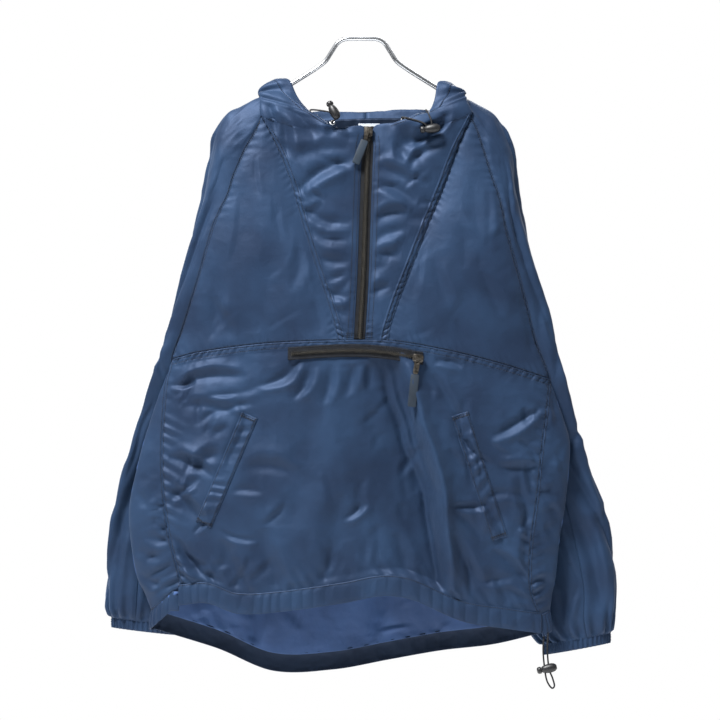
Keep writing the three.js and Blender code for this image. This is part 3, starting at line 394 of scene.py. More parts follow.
goreTables = {  # the gore's outer seam from the neck down to the yoke
    "right": tracks("x y z", [
        [-128, -22, -103], [-111, -27, -138], [-97, -32, -173], [-87, -36, -204], [-78, -39, -237],
        [-59, -45, -299], [-46, -48, -338], [-33, -51, -381], [-30, -52.6, -395.8],
    ]),
    "left": tracks("x y z", [
        [143, -20, -99], [124, -26, -146], [109, -31, -190], [97, -35, -222], [86, -39, -248],
        [64, -45, -305], [50, -48, -340], [38, -51, -376], [34, -52.6, -396.2],
    ]),
}
gores = {name: lambda t, axes=axes: stack(*[axes[k](t) for k in "xyz"]) for name, axes in goreTables.items()}
zipHeights = [-396, -376, -304, -240, -187, -150, -118]
zipX = track(zipHeights, [-2, -1, 3, 5, 7, 8.5, 10])
zipY = track(zipHeights, [-53, -52.5, -48.5, -44, -39, -34, -30])


def chestSurface(rows, gore):
    def raglan(v):
        return sleevePoint(rows, v * underarmRow, seamAngle(rows, v * underarmRow))

    def at(u, v):
        zero, one = np.zeros_like(u), np.ones_like(u)
        outer, inner = raglan(v), gore(v * 8)
        top0, top1, low0, low1 = raglan(zero), gore(zero), raglan(one), gore(8 * one)
        yokeX = mix(low0[..., 0], low1[..., 0], u)
        bottom = frontPoint(yokeX, yokeZ(yokeX))
        low0, low1 = (frontPoint(low[..., 0], yokeZ(low[..., 0])) for low in (low0, low1))
        a, b = u[..., None], v[..., None]
        ruled = mix(outer, inner, a) + mix(mix(top0, top1, a), bottom, b)
        p = ruled - mix(mix(top0, top1, a), mix(low0, low1, a), b)
        p[..., 1] -= 3 * np.sin(np.pi * u) * np.sin(np.pi * v) ** 0.8
        return p

    return at


hoodColumns = "edgeX edgeY edgeZ roll over turn head pouch bottom"
# For each half of the hood its edge's x and z and its roll, then what both have alike
hoodRows = table("""
-9.5 -395.6 0 5.5 -395.6 0 -53 0 0 0 0 0
-8.6 -378 2 6.4 -378 2 -52.5 0 0 0 0 0
-6 -335 3 9 -335 3 -50.5 0 0 0 0 0
-4.2 -296 4 10.8 -296 4 -48 0 0 0 0 0
-2.5 -240 5 12.5 -240 5 -44 0 0 0 0 0
-1.2 -207 6 13.8 -207 6 -41 0 0 0 0 0
-0.3 -176 8 14.7 -176 8 -38 2 0 0 0 0
1 -147 10 16 -147 10 -34 6 0 0 0 0
2.5 -119 11 17.5 -119 12 -30 10 10 0 0 0
-27 -122 12 52 -114 13 -31 12 25 0.12 0 0
-50 -110 12 74 -110 14 -28 13 40 0.24 0 0
-68 -97.5 12 88 -99 14 -22 13 55 0.34 0 0
-82 -80 12 95 -84 13 -14 13 72 0.42 0 0
-92 -58.5 12 99 -62.5 12 -6 12 85 0.48 0 -70
-99 -57 12 104 -60 12 5 12 95 0.55 0 -75
-113 -66 12 117 -68 12 26 10 120 0.75 0.3 -120
-112 -88 12 114 -88 12 48 6 145 1 0.8 -200
-88 -108 12 88 -108 12 64 0 165 1 1 -268
-50 -122 12 52 -122 12 72 0 175 1 1 -308
4.5 -128 12 4.5 -128 12 75 0 180 1 1 -325
""")
hoodTables = {
    name: [[row[at], row[6], row[at + 1], row[at + 2], *row[7:]] for row in hoodRows]
    for name, at in (("right", 0), ("left", 3))
}
neckRow, backNeckRow, middleRow = 8, 16, 19


def through(points, w):  # a smooth line through the points, at w from 0 to 1
    last = len(points) - 1
    t = w * last
    i = np.clip(np.floor(t), 0, last - 1).astype(int)
    s = (t - i)[..., None]
    slopes = [points[min(k + 1, last)] - points[max(k - 1, 0)] for k in range(last + 1)]
    slopes = [slope * (0.5 if 0 < k < last else 1) for k, slope in enumerate(slopes)]
    out = np.zeros_like(points[0])
    for k in range(last):
        a, b = points[k], points[k + 1]
        piece = a + s * (s * (3 - 2 * s) * (b - a) + (1 - s) * ((1 - s) * slopes[k] - s * slopes[k + 1]))
        out = np.where((i == k)[..., None], piece, out)
    return out


def hoodSurface(tableRows, rows, gore, sign):
    value = {name: track(np.arange(20), column) for name, column in zip(hoodColumns.split(), zip(*tableRows))}

    def seamLine(row, head):
        front = gore(np.clip(8 - row, 0, 8))
        angle = mix(seamAngle(rows, 0 * row), backAngle(rows, 0 * row), head)
        shoulder = mix(gore(0 * row), sleevePoint(rows, 0 * row, angle), np.minimum(1, 5 * head)[..., None])
        t = np.clip((row - backNeckRow) / (middleRow - backNeckRow), 0, 1) * np.pi / 2
        nape = backPoint(t if sign < 0 else np.pi - t, 0 * row)
        line = np.where((row <= neckRow)[..., None], front, shoulder)
        return np.where((row > backNeckRow)[..., None], nape, line)

    def at(u, v):
        row = v * middleRow
        get = {name: line(row) for name, line in value.items()}
        seam = seamLine(row, get["head"])
        edge = stack(get["edgeX"], get["edgeY"], get["edgeZ"])
        turn = np.radians(get["turn"])
        out = stack(sign * 0.8 * np.sin(turn), -np.cos(turn), 0.6 * np.sin(turn))
        seam = seam + out * (1.0 * np.clip((row - 5) / 2, 0, 1) * (1 - get["pouch"]))[..., None]
        beyond = seam - edge
        beyond = beyond / np.linalg.norm(beyond, axis=-1, keepdims=True) * get["over"][..., None]
        first = seam + beyond + out * (0.7 * get["roll"])[..., None]
        second = mix(seam, edge, 0.55) + out * (1.3 * get["roll"])[..., None]
        s = u[..., None]
        over = (1 - s) ** 3 * seam + 3 * s * (1 - s) ** 2 * first + 3 * s * s * (1 - s) * second + s**3 * edge
        sx, sy, sz = seam[..., 0], seam[..., 1], seam[..., 2]
        ex, ey, ez = edge[..., 0], edge[..., 1], edge[..., 2]
        low = get["bottom"]
        hanging = through(
            [
                seam,
                stack(sx, sy + 8, sz + 8),
                stack(mix(sx, ex, 0.05), sy + 16, mix(sz, low, 0.25)),
                stack(mix(sx, ex, 0.2), sy + 22, mix(sz, low, 0.75)),
                stack(mix(sx, ex, 0.5), sy + 34, low),
                stack(mix(sx, ex, 0.8), ey - 2, mix(ez, low, 0.75)),
                stack(mix(sx, ex, 0.95), ey, mix(ez, low, 0.3)),
                edge,
            ],
            u,
        )
        # the gore's top dips under the neckline, clear of the hood's face
        over[..., 2] -= 13 * np.exp(-(((row - 8) / 0.75) ** 2)) * np.sin(np.pi * u**1.4)
        share = smooth(get["pouch"])[..., None]
        return np.where((get["pouch"] > 0)[..., None], mix(over, hanging, share), over)

    return at


def cuffSurface(rows):
    def at(u, v):
        return cuffRing(rows, 2 * np.pi * u, -2.2 + 14.8 * v)

    return at


# Materials
def linear(hexColour):  # sRGB hex to the linear values that Blender takes
    values = [int(hexColour[i : i + 2], 16) / 255 for i in (1, 3, 5)]
    return [c / 12.92 if c <= 0.04045 else ((c + 0.055) / 1.055) ** 2.4 for c in values] + [1]


def addNode(tree, kind, inputs=None, **settings):
    node = tree.nodes.new(kind)
    for name, value in settings.items():
        setattr(node, name, value)
    for name, value in (inputs or {}).items():
        if isinstance(value, bpy.types.NodeSocket):
            tree.links.new(value, node.inputs[name])
        else:
            node.inputs[name].default_value = value
    return node


def newMaterial(name, shader, colours, colourScale, bumps, roughness=None):
    # colours: low and high hex of a slow variation, colourScale in mm; bumps: (kind, size in mm, depth in mm)
    material = bpy.data.materials.new(name)
    material.use_nodes = True
    tree = material.node_tree
    tree.nodes.clear()
    place = addNode(tree, "ShaderNodeTexCoord").outputs["Object"]
    tint = addNode(tree, "ShaderNodeTexNoise", {"Vector": place, "Scale": 1000 / colourScale, "Detail": 3})
    ramp = addNode(tree, "ShaderNodeValToRGB", {"Fac": tint.outputs["Fac"]})
    for element, position, colour in zip(ramp.color_ramp.elements, (0.35, 0.65), colours):
        element.position, element.color = position, linear(colour)
    inputs = {"Base Color": ramp.outputs["Color"], **shader}
    if roughness:
        span = {"Value": tint.outputs["Fac"], "To Min": roughness[0], "To Max": roughness[1]}
        inputs["Roughness"] = addNode(tree, "ShaderNodeMapRange", span).outputs["Result"]
    normal = None
    for kind, size, depth in bumps:
        if kind == "weave":  # warp and weft as two crossing waves
            waves = {"Vector": place, "Scale": 1000 / size / 6.28}
            warp = addNode(tree, "ShaderNodeTexWave", waves, bands_direction="X")
            weft = addNode(tree, "ShaderNodeTexWave", waves, bands_direction="Z")
            both = {0: warp.outputs["Fac"], 1: weft.outputs["Fac"]}
            height = addNode(tree, "ShaderNodeMath", both, operation="MULTIPLY").outputs[0]
        elif kind == "creases":  # crisp ridges where the cloth was crushed
            ridges = {"Vector": place, "Scale": 1000 / size, "Detail": 2, "Roughness": 0.5, "Distortion": 0.5}
            ridged = addNode(tree, "ShaderNodeTexNoise", ridges, noise_type="RIDGED_MULTIFRACTAL")
            height = ridged.outputs["Fac"]
        elif kind == "ribs":
            ribs = {"Vector": place, "Scale": 1000 / size / 6.28, "Distortion": 0.6}
            height = addNode(tree, "ShaderNodeTexWave", ribs, bands_direction="DIAGONAL").outputs["Fac"]
        else:
            grain = {"Vector": place, "Scale": 1000 / size, "Detail": 4, "Roughness": 0.55}
            height = addNode(tree, "ShaderNodeTexNoise", grain).outputs["Fac"]
        bump = {"Height": height, "Distance": depth * mm, "Strength": 1}
        if normal:
            bump["Normal"] = normal
        normal = addNode(tree, "ShaderNodeBump", bump).outputs["Normal"]
    if normal:
        inputs["Normal"] = normal
    shaderNode = addNode(tree, "ShaderNodeBsdfPrincipled", inputs)
    output = {"Surface": shaderNode.outputs["BSDF"]}
    addNode(tree, "ShaderNodeOutputMaterial", output)
    return material


def plain(roughness, gloss):
    return {"Roughness": roughness, "Specular IOR Level": gloss}


# Nylon taffeta, calendered: a satin lustre on navy, crushed into crinkles, threads drawn at 0.8 mm
nylonShader = {
    "Specular Tint": linear("#a6bfee"), "Specular IOR Level": 0.27,
    "Sheen Weight": 0.12, "Sheen Roughness": 0.4, "Sheen Tint": linear("#9db6e0"),
}
nylonBumps = [("creases", 46, 1.5), ("creases", 15, 0.4), ("grain", 30, 1.0), ("weave", 0.8, 0.04)]
lustre = (0.5, 0.62)
nylonTaffeta = newMaterial("nylon taffeta, navy", nylonShader, ("#111c2d", "#17263a"), 60, nylonBumps, lustre)
# Painted shade: a darker copy of the nylon for the hem tunnels' inner side, where two layers let less light
# through, and for the upper back's inner side in the hood's shade
shadedTones = ("#070d17", "#0b131f")
nylonShaded = newMaterial("nylon taffeta, painted shade", nylonShader, shadedTones, 60, nylonBumps, lustre)
# Seen from inside, the single layer is duller than its face, and paler: partly the reverse's own colour,
# partly painted light that shines through the cloth
nylonReverse = newMaterial("nylon taffeta, reverse", plain(0.6, 0.2), ("#24385a", "#2b4268"), 60, nylonBumps)
# Spun polyester thread, navy, dull, drawn at 0.5 mm; coloured darker than the navy thread as painted shade of
# the sunken stitch rows
twist = [("ribs", 0.6, 0.1)]
shadedThread = newMaterial("polyester thread, navy", plain(0.6, 0.2), ("#0a0f18", "#0f1622"), 4, twist)
# Nickel-plated steel rod: bright, with faint drawing lines
rodFinish = (("#9a9da1", "#b4b7bb"), 30, [("grain", 6, 0.02)], (0.16, 0.28))
platedRod = newMaterial("nickel-plated steel rod", {"Metallic": 1}, *rodFinish)
# Woven polyester zip tape: matt black herringbone
zipTapeCloth = newMaterial(
    "woven zip tape, black", plain(0.8, 0.12), ("#0d0e11", "#15171b"), 5, [("ribs", 1.1, 0.18)]
)
# Moulded acetal teeth: black-brown with a hard gloss
acetal = newMaterial("acetal, black", plain(0.14, 1.0), ("#191816", "#2f2d29"), 3, [("grain", 2, 0.02)])
# Die-cast zinc, antique bronze plating with paler worn patches
zincFinish = (("#2e2b27", "#54504a"), 3, [("grain", 1.5, 0.03)], (0.28, 0.45))
zinc = newMaterial("die-cast zinc, bronzed", {"Metallic": 0.9}, *zincFinish)
# Soft PVC pull tabs: slate blue, matt, faintly pebbled
pebble = [("grain", 0.8, 0.05)]
softVinyl = newMaterial("soft vinyl, slate", plain(0.55, 0.25), ("#111a24", "#15202b"), 12, pebble)
# Braided polyester cord: black, the plait drawn at 1.2 mm
braid = newMaterial("braided cord, black", plain(0.7, 0.2), ("#08090b", "#131418"), 2, [("ribs", 1.2, 0.3)])
# Moulded ABS cord locks: black, satin, with fine spark erosion
lockPlastic = newMaterial("ABS, black", plain(0.45, 0.3), ("#08090b", "#0f1013"), 8, [("grain", 0.7, 0.03)])
# Nickel-plated brass eyelets: silver, bright
brassFinish = (("#b9bcc0", "#d2d4d6"), 2, [("grain", 1, 0.01)], (0.15, 0.3))
eyeletMetal = newMaterial("nickel-plated brass", {"Metallic": 1}, *brassFinish)
# Woven satin label: white, bare
satin = {"Roughness": 0.45, "Sheen Weight": 0.2}
labelSatin = newMaterial("polyester satin, white", satin, ("#9aa0aa", "#a8adb6"), 6, [("weave", 0.6, 0.05)])
# Painted studio board: white, matt
brushed = [("grain", 4, 0.02)]
board = newMaterial("painted board, white", {"Roughness": 0.9}, ("#f4f5f6", "#fafafa"), 900, brushed)
print("stage: materials")


# Cloth pieces
def finish(obj, node, material, body="body", smoothFaces=True):
    obj.data.materials.clear()
    obj.data.materials.append(material)
    if smoothFaces:
        obj.data.polygons.foreach_set("use_smooth", [True] * len(obj.data.polygons))
    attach(obj, body)
    if node:
        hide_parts(node)
    return obj


def objectOf(bm, name):
    mesh = bpy.data.meshes.new(name)
    bm.to_mesh(mesh)
    bm.free()
    obj = bpy.data.objects.new(name, mesh)
    bpy.context.scene.collection.objects.link(obj)
    return obj


class Panel:  # a finished piece of cloth: its points and normals in mm, and how far each lies from its edges
    pass


meshes = {  # columns and rows of each piece of cloth
    "front_body": (216, 150), "back_body": (204, 162), "chest": (110, 120), "sleeve": (140, 158),
    "hood": (108, 200), "cuff": (336, 12), "front_hem_casing": (420, 16), "back_hem_casing": (460, 14),
    "welt": (40, 130), "front_zip_tape": (24, 180), "pocket_zip_tape": (160, 18), "neck_label": (24, 20),
}


def clothPiece(
    name, surface, out, relief, closed=False, edgeShare=0.55, layer=cloth["layer"],
    material=nylonTaffeta, reverse=None,
):  # out: 1 where the surface's own normal points out of the anorak, else -1; reverse: the inner side's look
    columns, rows = meshes[name] if name in meshes else meshes[name.split("_")[0]]
    bm = bmesh.new()
    bmesh.ops.create_grid(bm, x_segments=columns, y_segments=rows, size=0.5)
    obj = objectOf(bm, name)
    flat = np.empty(len(obj.data.vertices) * 3)
    obj.data.vertices.foreach_get("co", flat)
    flat = flat.reshape(-1, 3)
    column = np.rint((flat[:, 0] + 0.5) * columns).astype(int)
    row = np.rint((0.5 - flat[:, 1]) * rows).astype(int)
    even, down = np.linspace(0, 1, columns + 1), np.linspace(0, 1, rows + 1)
    if not closed:
        even = even - edgeShare / (2 * np.pi) * np.sin(2 * np.pi * even)  # finer columns near the seams
    down = down - 0.3 / (2 * np.pi) * np.sin(2 * np.pi * down)
    u, v = np.meshgrid(even, down)
    p = surface(u, v)
    panel = Panel()
    length = lambda a, axis: np.linalg.norm(np.diff(a, axis=axis), axis=-1)
    panel.left = np.concatenate([np.zeros((rows + 1, 1)), np.cumsum(length(p, 1), axis=1)], axis=1)
    panel.right = panel.left[:, -1:] - panel.left
    panel.top = np.concatenate([np.zeros((1, columns + 1)), np.cumsum(length(p, 0), axis=0)], axis=0)
    panel.bottom = panel.top[-1:] - panel.top
    panel.u, panel.v = u, v

    def normalsOf(points):
        across, along = np.gradient(points, axis=1), np.gradient(points, axis=0)
        if closed:
            across[:, 0] = across[:, -1] = points[:, 1] - points[:, -2]
        n = np.cross(along, across)
        return out * n / np.maximum(np.linalg.norm(n, axis=-1, keepdims=True), 1e-9)

    p = p + normalsOf(p) * relief(panel, p)[..., None]
    normals = normalsOf(p)
    panel.points, panel.normals = p, normals
    placed = p[row, column] * mm
    obj.data.vertices.foreach_set("co", placed.ravel())
    obj.data.update()
    bm = bmesh.new()
    bm.from_mesh(obj.data)
    if closed:
        bmesh.ops.remove_doubles(bm, verts=bm.verts, dist=1e-6)
    bm.faces.ensure_lookup_table()
    middle = bm.faces[len(bm.faces) // 2]
    index = np.argmin(np.linalg.norm(placed - np.array(middle.calc_center_median()), axis=1))
    if middle.normal.dot(Vector(normals[row[index], column[index]])) < 0:
        bmesh.ops.reverse_faces(bm, faces=bm.faces)
    bm.to_mesh(obj.data)
    bm.free()
    finish(obj, name, material)
    wall = obj.modifiers.new("cloth", "SOLIDIFY")
    wall.thickness = layer * mm
    wall.offset = -1
    wall.use_even_offset = False
    if reverse:
        obj.data.materials.append(reverse)
        wall.material_offset = 1
        wall.material_offset_rim = 0
    panel.obj = obj
    return panel


stitch = {"pitch": 3.2, "share": 0.72, "width": 0.55, "height": 0.42, "lift": 0.12}
stitches = []  # centre, direction and normal of each stitch, in mm


def stitchLine(points, normals):
    gaps = np.linalg.norm(np.diff(points, axis=0), axis=1)
    reach = np.concatenate([[0], np.cumsum(gaps)])
    for at in np.arange(stitch["pitch"] / 2, reach[-1], stitch["pitch"]):
        i = min(int(np.searchsorted(reach, at)) - 1, len(gaps) - 1)
        share = (at - reach[i]) / max(gaps[i], 1e-6)
        direction = (points[i + 1] - points[i]) / max(gaps[i], 1e-6)
        normal = mix(normals[i], normals[i + 1], share)
        stitches.append((mix(points[i], points[i + 1], share), direction, normal))


def stitchAlong(panel, edge, away, start=0.0, end=1.0):  # a row of stitches at a distance from one edge
    distance = getattr(panel, edge)
    p, n = panel.points, panel.normals
    if edge in ("top", "bottom"):
        distance, p, n = distance.T, p.transpose(1, 0, 2), n.transpose(1, 0, 2)
    last = len(distance) - 1
    picked = range(int(start * last), int(end * last) + 1)
    line, normals = [], []
    for i in picked:
        d = distance[i]
        order = slice(None, None, -1) if d[0] > d[-1] else slice(None)
        d, q, m = d[order], p[i][order], n[i][order]
        if d[-1] < away:
            continue
        line.append([np.interp(away, d, q[:, k]) for k in range(3)])
        normals.append([np.interp(away, d, m[:, k]) for k in range(3)])
    if len(line) > 1:
        stitchLine(np.array(line), np.array(normals))


def buildStitches(name):
    bm = bmesh.new()
    length = stitch["pitch"] * stitch["share"]
    for centre, direction, normal in stitches:
        x = Vector(direction).normalized()
        z = Vector(normal).normalized()
        y = z.cross(x).normalized()
        z = x.cross(y)
        turn = Matrix((x, y, z)).transposed().to_4x4()
        place = Matrix.Translation((Vector(centre) + z * stitch["lift"]) * mm) @ turn
        size = Matrix.Diagonal((length * mm, stitch["width"] * mm, stitch["height"] * mm, 1))
        bmesh.ops.create_cube(bm, size=1, matrix=place @ size)
    obj = objectOf(bm, name)
    stitches.clear()
    # the stitches take the darkened thread: painted shade of the sunken rows
    return finish(obj, None, shadedThread)


# Front below the yoke seam: its folds, the first the broad valley from the zip to the hem
frontFolds = folds("""
36 -412 108 -760 12 11 19 0.75 6.5
46 -500 104 -736 10 5 4 1.0
30 -425 62 -545 -4 5 4 0.8
133 -470 148 -590 -8 7 4 0.8
88 -440 128 -500 4 6 3.5 0.7
150 -590 182 -640 0 6 3.5 -0.8
168 -668 215 -712 3 6 4 0.7
120 -640 158 -716 -6 8 4 0.7
238 -480 165 -520 6 7 4 0.8
232 -560 178 -560 5 7 3.5 -0.8
225 -610 196 -640 3 6 3.5 0.7
205 -570 214 -700 5 8 3.5 -0.7
-60 -425 -92 -470 3 6 4 0.8
-76 -420 -128 -455 6 6 4 0.9
-38 -424 -52 -480 2 6 3.5 0.8
-12 -424 -24 -470 2 6 3 0.8
8 -424 6 -462 0 6 3 -0.7
52 -428 60 -460 0 6 3 0.8
92 -424 128 -432 4 5 3 -0.7
-238 -455 -150 -440 8 8 4 0.8
-230 -480 -160 -500 8 9 3.5 0.7
-250 -545 -190 -570 6 8 5 0.8
-252 -588 -200 -640 5 9 5 0.8
-248 -640 -178 -716 -8 7 6 -0.9
-222 -560 -176 -536 5 8 4 0.7
-150 -560 -80 -572 9 11 3.5 0.7
-150 -480 -172 -560 5 9 3.5 -0.6
-70 -470 -96 -640 10 20 3 0.4
-24 -590 -58 -735 6 16 4 -0.5
12 -604 -18 -628 2 5 3 0.9
-130 -640 -112 -728 6 12 4 0.6
-176 -650 -160 -735 4 10 4 0.6
40 -640 62 -712 4 9 3 0.7
""")
frontFolds += scatter(26, (-245, -100, -700, -440), 1, 35, 60, 2.6)
frontFolds += scatter(20, (-60, 90, -720, -440), 2, 80, 40, 1.8)
frontFolds += scatter(26, (110, 235, -730, -460), 3, -40, 60, 2.6)


def frontRelief(x, z):
    calm = 0.6 + 0.4 * noise(x / 90, z / 90, 21)
    form = 1.3 * foldHeight(frontFolds, x, z) + 1.2 * calm * crumple(x, z, 44, 5)
    return form + 0.45 * crumple(x, z, 17, 8)


def frontBodyRelief(d, p):
    x, z = p[..., 0], p[..., 2]
    fade = inside(d, 16, 12, 14, 14)
    edge = puckers(z, d.left, 15, 2.2, 20, 31, 0.5) + puckers(z, d.right, 16, 1.8, 17, 33, -0.5)
    edge += puckers(x, d.top, 13, 1.1, 12, 35, 0.3) + puckers(x, d.bottom, 17, 2.0, 22, 37, 0.6)
    return frontRelief(x, z) * fade + edge + lap(d.top, x) * smooth(d.left / 3) * smooth(d.right / 3)


front = clothPiece("front_body", frontBody, 1, frontBodyRelief, reverse=nylonReverse)
for away in (1.8, 7.2):
    stitchAlong(front, "top", away)
for edge in ("left", "right"):
    stitchAlong(front, edge, 2)


def gathered(count, height, seed):  # a casing drawn in by its cord: slanting lobes between two stitched edges
    def relief(d, p):
        slant = 2.6 * wander(d.u * count / 5, seed, 9) * d.v
        phase = 2 * np.pi * count * d.u + 5.5 * wander(d.u * count / 3, seed) + slant
        lobes = np.abs(np.sin(phase / 2)) ** 0.7 - 0.6
        size = height * (0.42 + 0.58 * wander(d.u * count / 4, seed + 1, 4))
        puff = smooth(d.top / 5) * (0.35 + 0.65 * smooth(d.bottom / 4))
        fine = 0.5 * crumple(d.left, d.top, 14, seed + 2)
        return (size * lobes + fine) * puff + 1.4 * np.sin(np.pi * np.clip(d.v, 0, 1)) - 0.3

    return relief


# the tunnels' inner side takes the darker copy of the nylon, painted shade
casingCloth = {"edgeShare": 0, "layer": cloth["doubled"], "reverse": nylonShaded}
frontHem = clothPiece("front_hem_casing", frontCasing, 1, gathered(30, 2.3, 41), **casingCloth)
stitchAlong(frontHem, "top", 1.5)

# Back: the folds that show inside through the open hem, and like ones over the outside
backFolds = folds("""
-20 -380 -60 -640 16 18 6 0.4
60 -360 95 -600 -12 17 6 -0.4
0 -500 20 -780 8 18 -5 0
-150 -480 -110 -700 8 14 5 0.5
160 -470 130 -690 -8 14 5 -0.5
-60 -150 -100 -300 4 12 4 0.5
70 -150 105 -290 -4 12 4 -0.5
-153 -700 -137 -800 3 5 -4 0.6
-129 -700 -135 -800 -2 5 -3.5 0.6
17 -690 20 -792 2 6 -3 0.5
136 -700 157 -774 2 6 -3 0.5
-225 -440 -120 -520 10 10 5 0.6
222 -460 120 -530 -10 10 5 -0.6
-190 -620 -160 -760 5 10 4 0.5
190 -600 165 -750 -5 10 4 0.5
-40 -420 40 -450 8 12 3 0.5
""")
backFolds += scatter(60, (-250, 240, -780, -140), 4, 75, 70, 2.6)
backFolds += scatter(26, (-298, -245, -750, -440), 6, 10, 60, 2.8)
backFolds += scatter(26, (225, 268, -750, -440), 7, -10, 60, 2.8)


def backBodyRelief(d, p):
    x, z = p[..., 0], p[..., 2]
    fade = inside(d, 20, 12, 9, 9)
    calm = 0.6 + 0.4 * noise(x / 90, z / 90, 22)
    form = 1.4 * foldHeight(backFolds, x, z) + 1.7 * calm * crumple(x, 0.6 * z, 48, 15)
    form += 0.45 * crumple(x, z, 18, 18)
    edge = puckers(z, d.left, 15, 3.6, 28, 51, 0.5) + puckers(z, d.right, 15, 3.6, 28, 53, -0.5)
    edge += puckers(x, d.bottom, 18, 1.8, 20, 55, 0.5) + puckers(x, d.top, 12, 0.8, 10, 57)
    room = smooth((np.abs(p[..., 1] - edgeY) - 1) / 14)  # none where the two layers meet at the sides
    return (form * fade + edge) * np.where(z < -430, mix(0.12, 1, room), 1)


back = clothPiece("back_body", backBody, -1, backBodyRelief, edgeShare=0.4, reverse=nylonReverse)
# behind the neck the hood keeps out the light that makes the reverse look pale lower down, so the inner side
# there takes the darker copy of the nylon: painted shade
for shade in (nylonTaffeta, nylonShaded):
    back.obj.data.materials.append(shade)
for face in back.obj.data.polygons:
    face.material_index = 2 if face.center.z > -0.2 else 0
backHem = clothPiece("back_hem_casing", backCasing, -1, gathered(36, 1.7, 61), **casingCloth)
stitchAlong(backHem, "top", 1.5)
stitchAlong(back, "bottom", 1.5)
for edge in ("left", "right"):
    stitchAlong(back, edge, 2)
print("stage: body")

# Chests: smooth, with a few soft folds down from the shoulder
chestFolds = {
    "right": folds("""
-83 -272 -91 -338 3 9 2.6 0.6
-202 -340 -165 -395 5 9 3 0.7
-150 -180 -160 -300 6 16 2.6 0.4
-120 -250 -128 -390 5 18 2.4 0.4
-188 -300 -196 -400 4 10 3 0.5
-60 -345 -50 -390 3 8 2.2 0.6
"""),
    "left": folds("""
100 -291 110 -350 -3 8 2.6 0.7
156 -308 178 -368 4 9 2.8 0.7
150 -180 158 -300 -5 15 2.6 0.4
122 -240 138 -300 4 10 2.4 0.5
205 -330 222 -420 5 9 3 0.6
128 -330 140 -408 -4 15 2.2 0.4
"""),
}
sides = {
    "left": {"sign": 1, "rows": sleeves["left"], "gore": gores["left"], "seed": 70},
    "right": {"sign": -1, "rows": sleeves["right"], "gore": gores["right"], "seed": 90},
}


def chestRelief(name, seed):
    span = (50, 230) if name == "left" else (-230, -50)
    wrinkles = scatter(16, (*span, -400, -140), seed, 80, 50, 1.0, 90)

    def relief(d, p):
        x, z = p[..., 0], p[..., 2]
        fade = inside(d, 30, 16, 14, 14)
        form = foldHeight(chestFolds[name] + wrinkles, x, z) + 0.55 * crumple(x, z, 60, seed)
        form += 0.2 * crumple(x, z, 20, seed + 4)
        edge = puckers(z, d.right, 8.4, 0.8, 8, seed + 6, 0.5) + puckers(z, d.left, 11, 0.7, 10, seed + 8)
        return form * fade + edge + puckers(x, d.bottom, 10, 1.0, 11, seed + 9, 0.4)

    return relief


sleeveFolds = {
    "left": table("""
0.35 3 10 0.05 4 0.04
0.12 4 11 0.04 3 -0.03
0.3 12 18 0.045 5 0.05
0.1 14.5 17.5 0.03 4 0.09
0.5 13 19 0.04 4 -0.03
0.72 13 20 0.04 4 0.03
0.9 15 20 0.04 3 0.02
0.05 16 19 0.03 4 0.05
0.2 15.5 19.5 0.025 3.5 0.04
0.42 16 20 0.03 3 -0.04
0.62 4 11 0.05 3.5 0.05
0.85 11 15 0.05 4 0.04
"""),
    "right": table("""
0.35 3 10 0.05 4 -0.03
0.14 4 11 0.04 3 0.03
0.28 12 18 0.045 5 -0.04
0.08 14 18 0.035 4 0.07
0.5 13 19 0.04 4 0.03
0.72 13 20 0.04 4 -0.03
0.9 15 20 0.04 3 0.02
0.22 15.5 19.5 0.03 3.5 -0.04
0.42 16 20 0.03 3 0.04
0.6 4 11 0.05 3.5 -0.05
0.85 11 15 0.05 4 -0.04
"""),
}


def sleeveRelief(name, seed):
    wrinkles = scatter(70, (10, 340, -770, -400), seed, 78, 30, 3.6, 110)
    wrinkles += scatter(30, (10, 240, -400, -110), seed + 1, 70, 30, 2, 90)

    def relief(d, p):
        row = d.v * cuffRow
        form = np.zeros_like(row)
        for around, start, end, width, depth, drift in sleeveFolds[name]:
            along = np.clip((row - start) / (end - start), 0, 1)
            middle = around + drift * (2 * along - 1)
            across = (d.u - middle - 0.012 * np.sin(5 * along + around * 20)) / width
            ridge = 0.7 * np.exp(-(((across - 1.7) / 1.3) ** 2))
            form += 1.5 * depth * np.sin(np.pi * along) ** 0.7 * (ridge - np.exp(-(np.abs(across) ** 1.5)))
        girth = d.left + p[..., 2] * 0.3
        form += foldHeight(wrinkles, d.left, p[..., 2])
        form += 1.7 * crumple(girth, p[..., 2] * 0.5, 46, seed)
        form += 0.5 * crumple(girth, p[..., 2], 19, seed + 3)
        fade = smooth(d.left / 12) * smooth(d.right / 12) * smooth(d.top / 20)
        gather = 3.4 * np.sin(2 * np.pi * 17 * d.u + 2.5 * wander(d.u * 9, seed))
        gather *= np.exp(-((d.bottom / 36) ** 1.2))
        gather *= smooth(np.minimum(d.left, d.right) / 8) * smooth((d.bottom - 1.5) / 6)
        edge = puckers(p[..., 2], d.left, 12, 0.7, 10, seed + 5)
        form = form * fade * smooth(d.bottom / 40) + gather + edge
        return mix(form, np.maximum(form, 0.2), smooth((7 - row) / 2))  # clear of the hanger's arm inside

    return relief


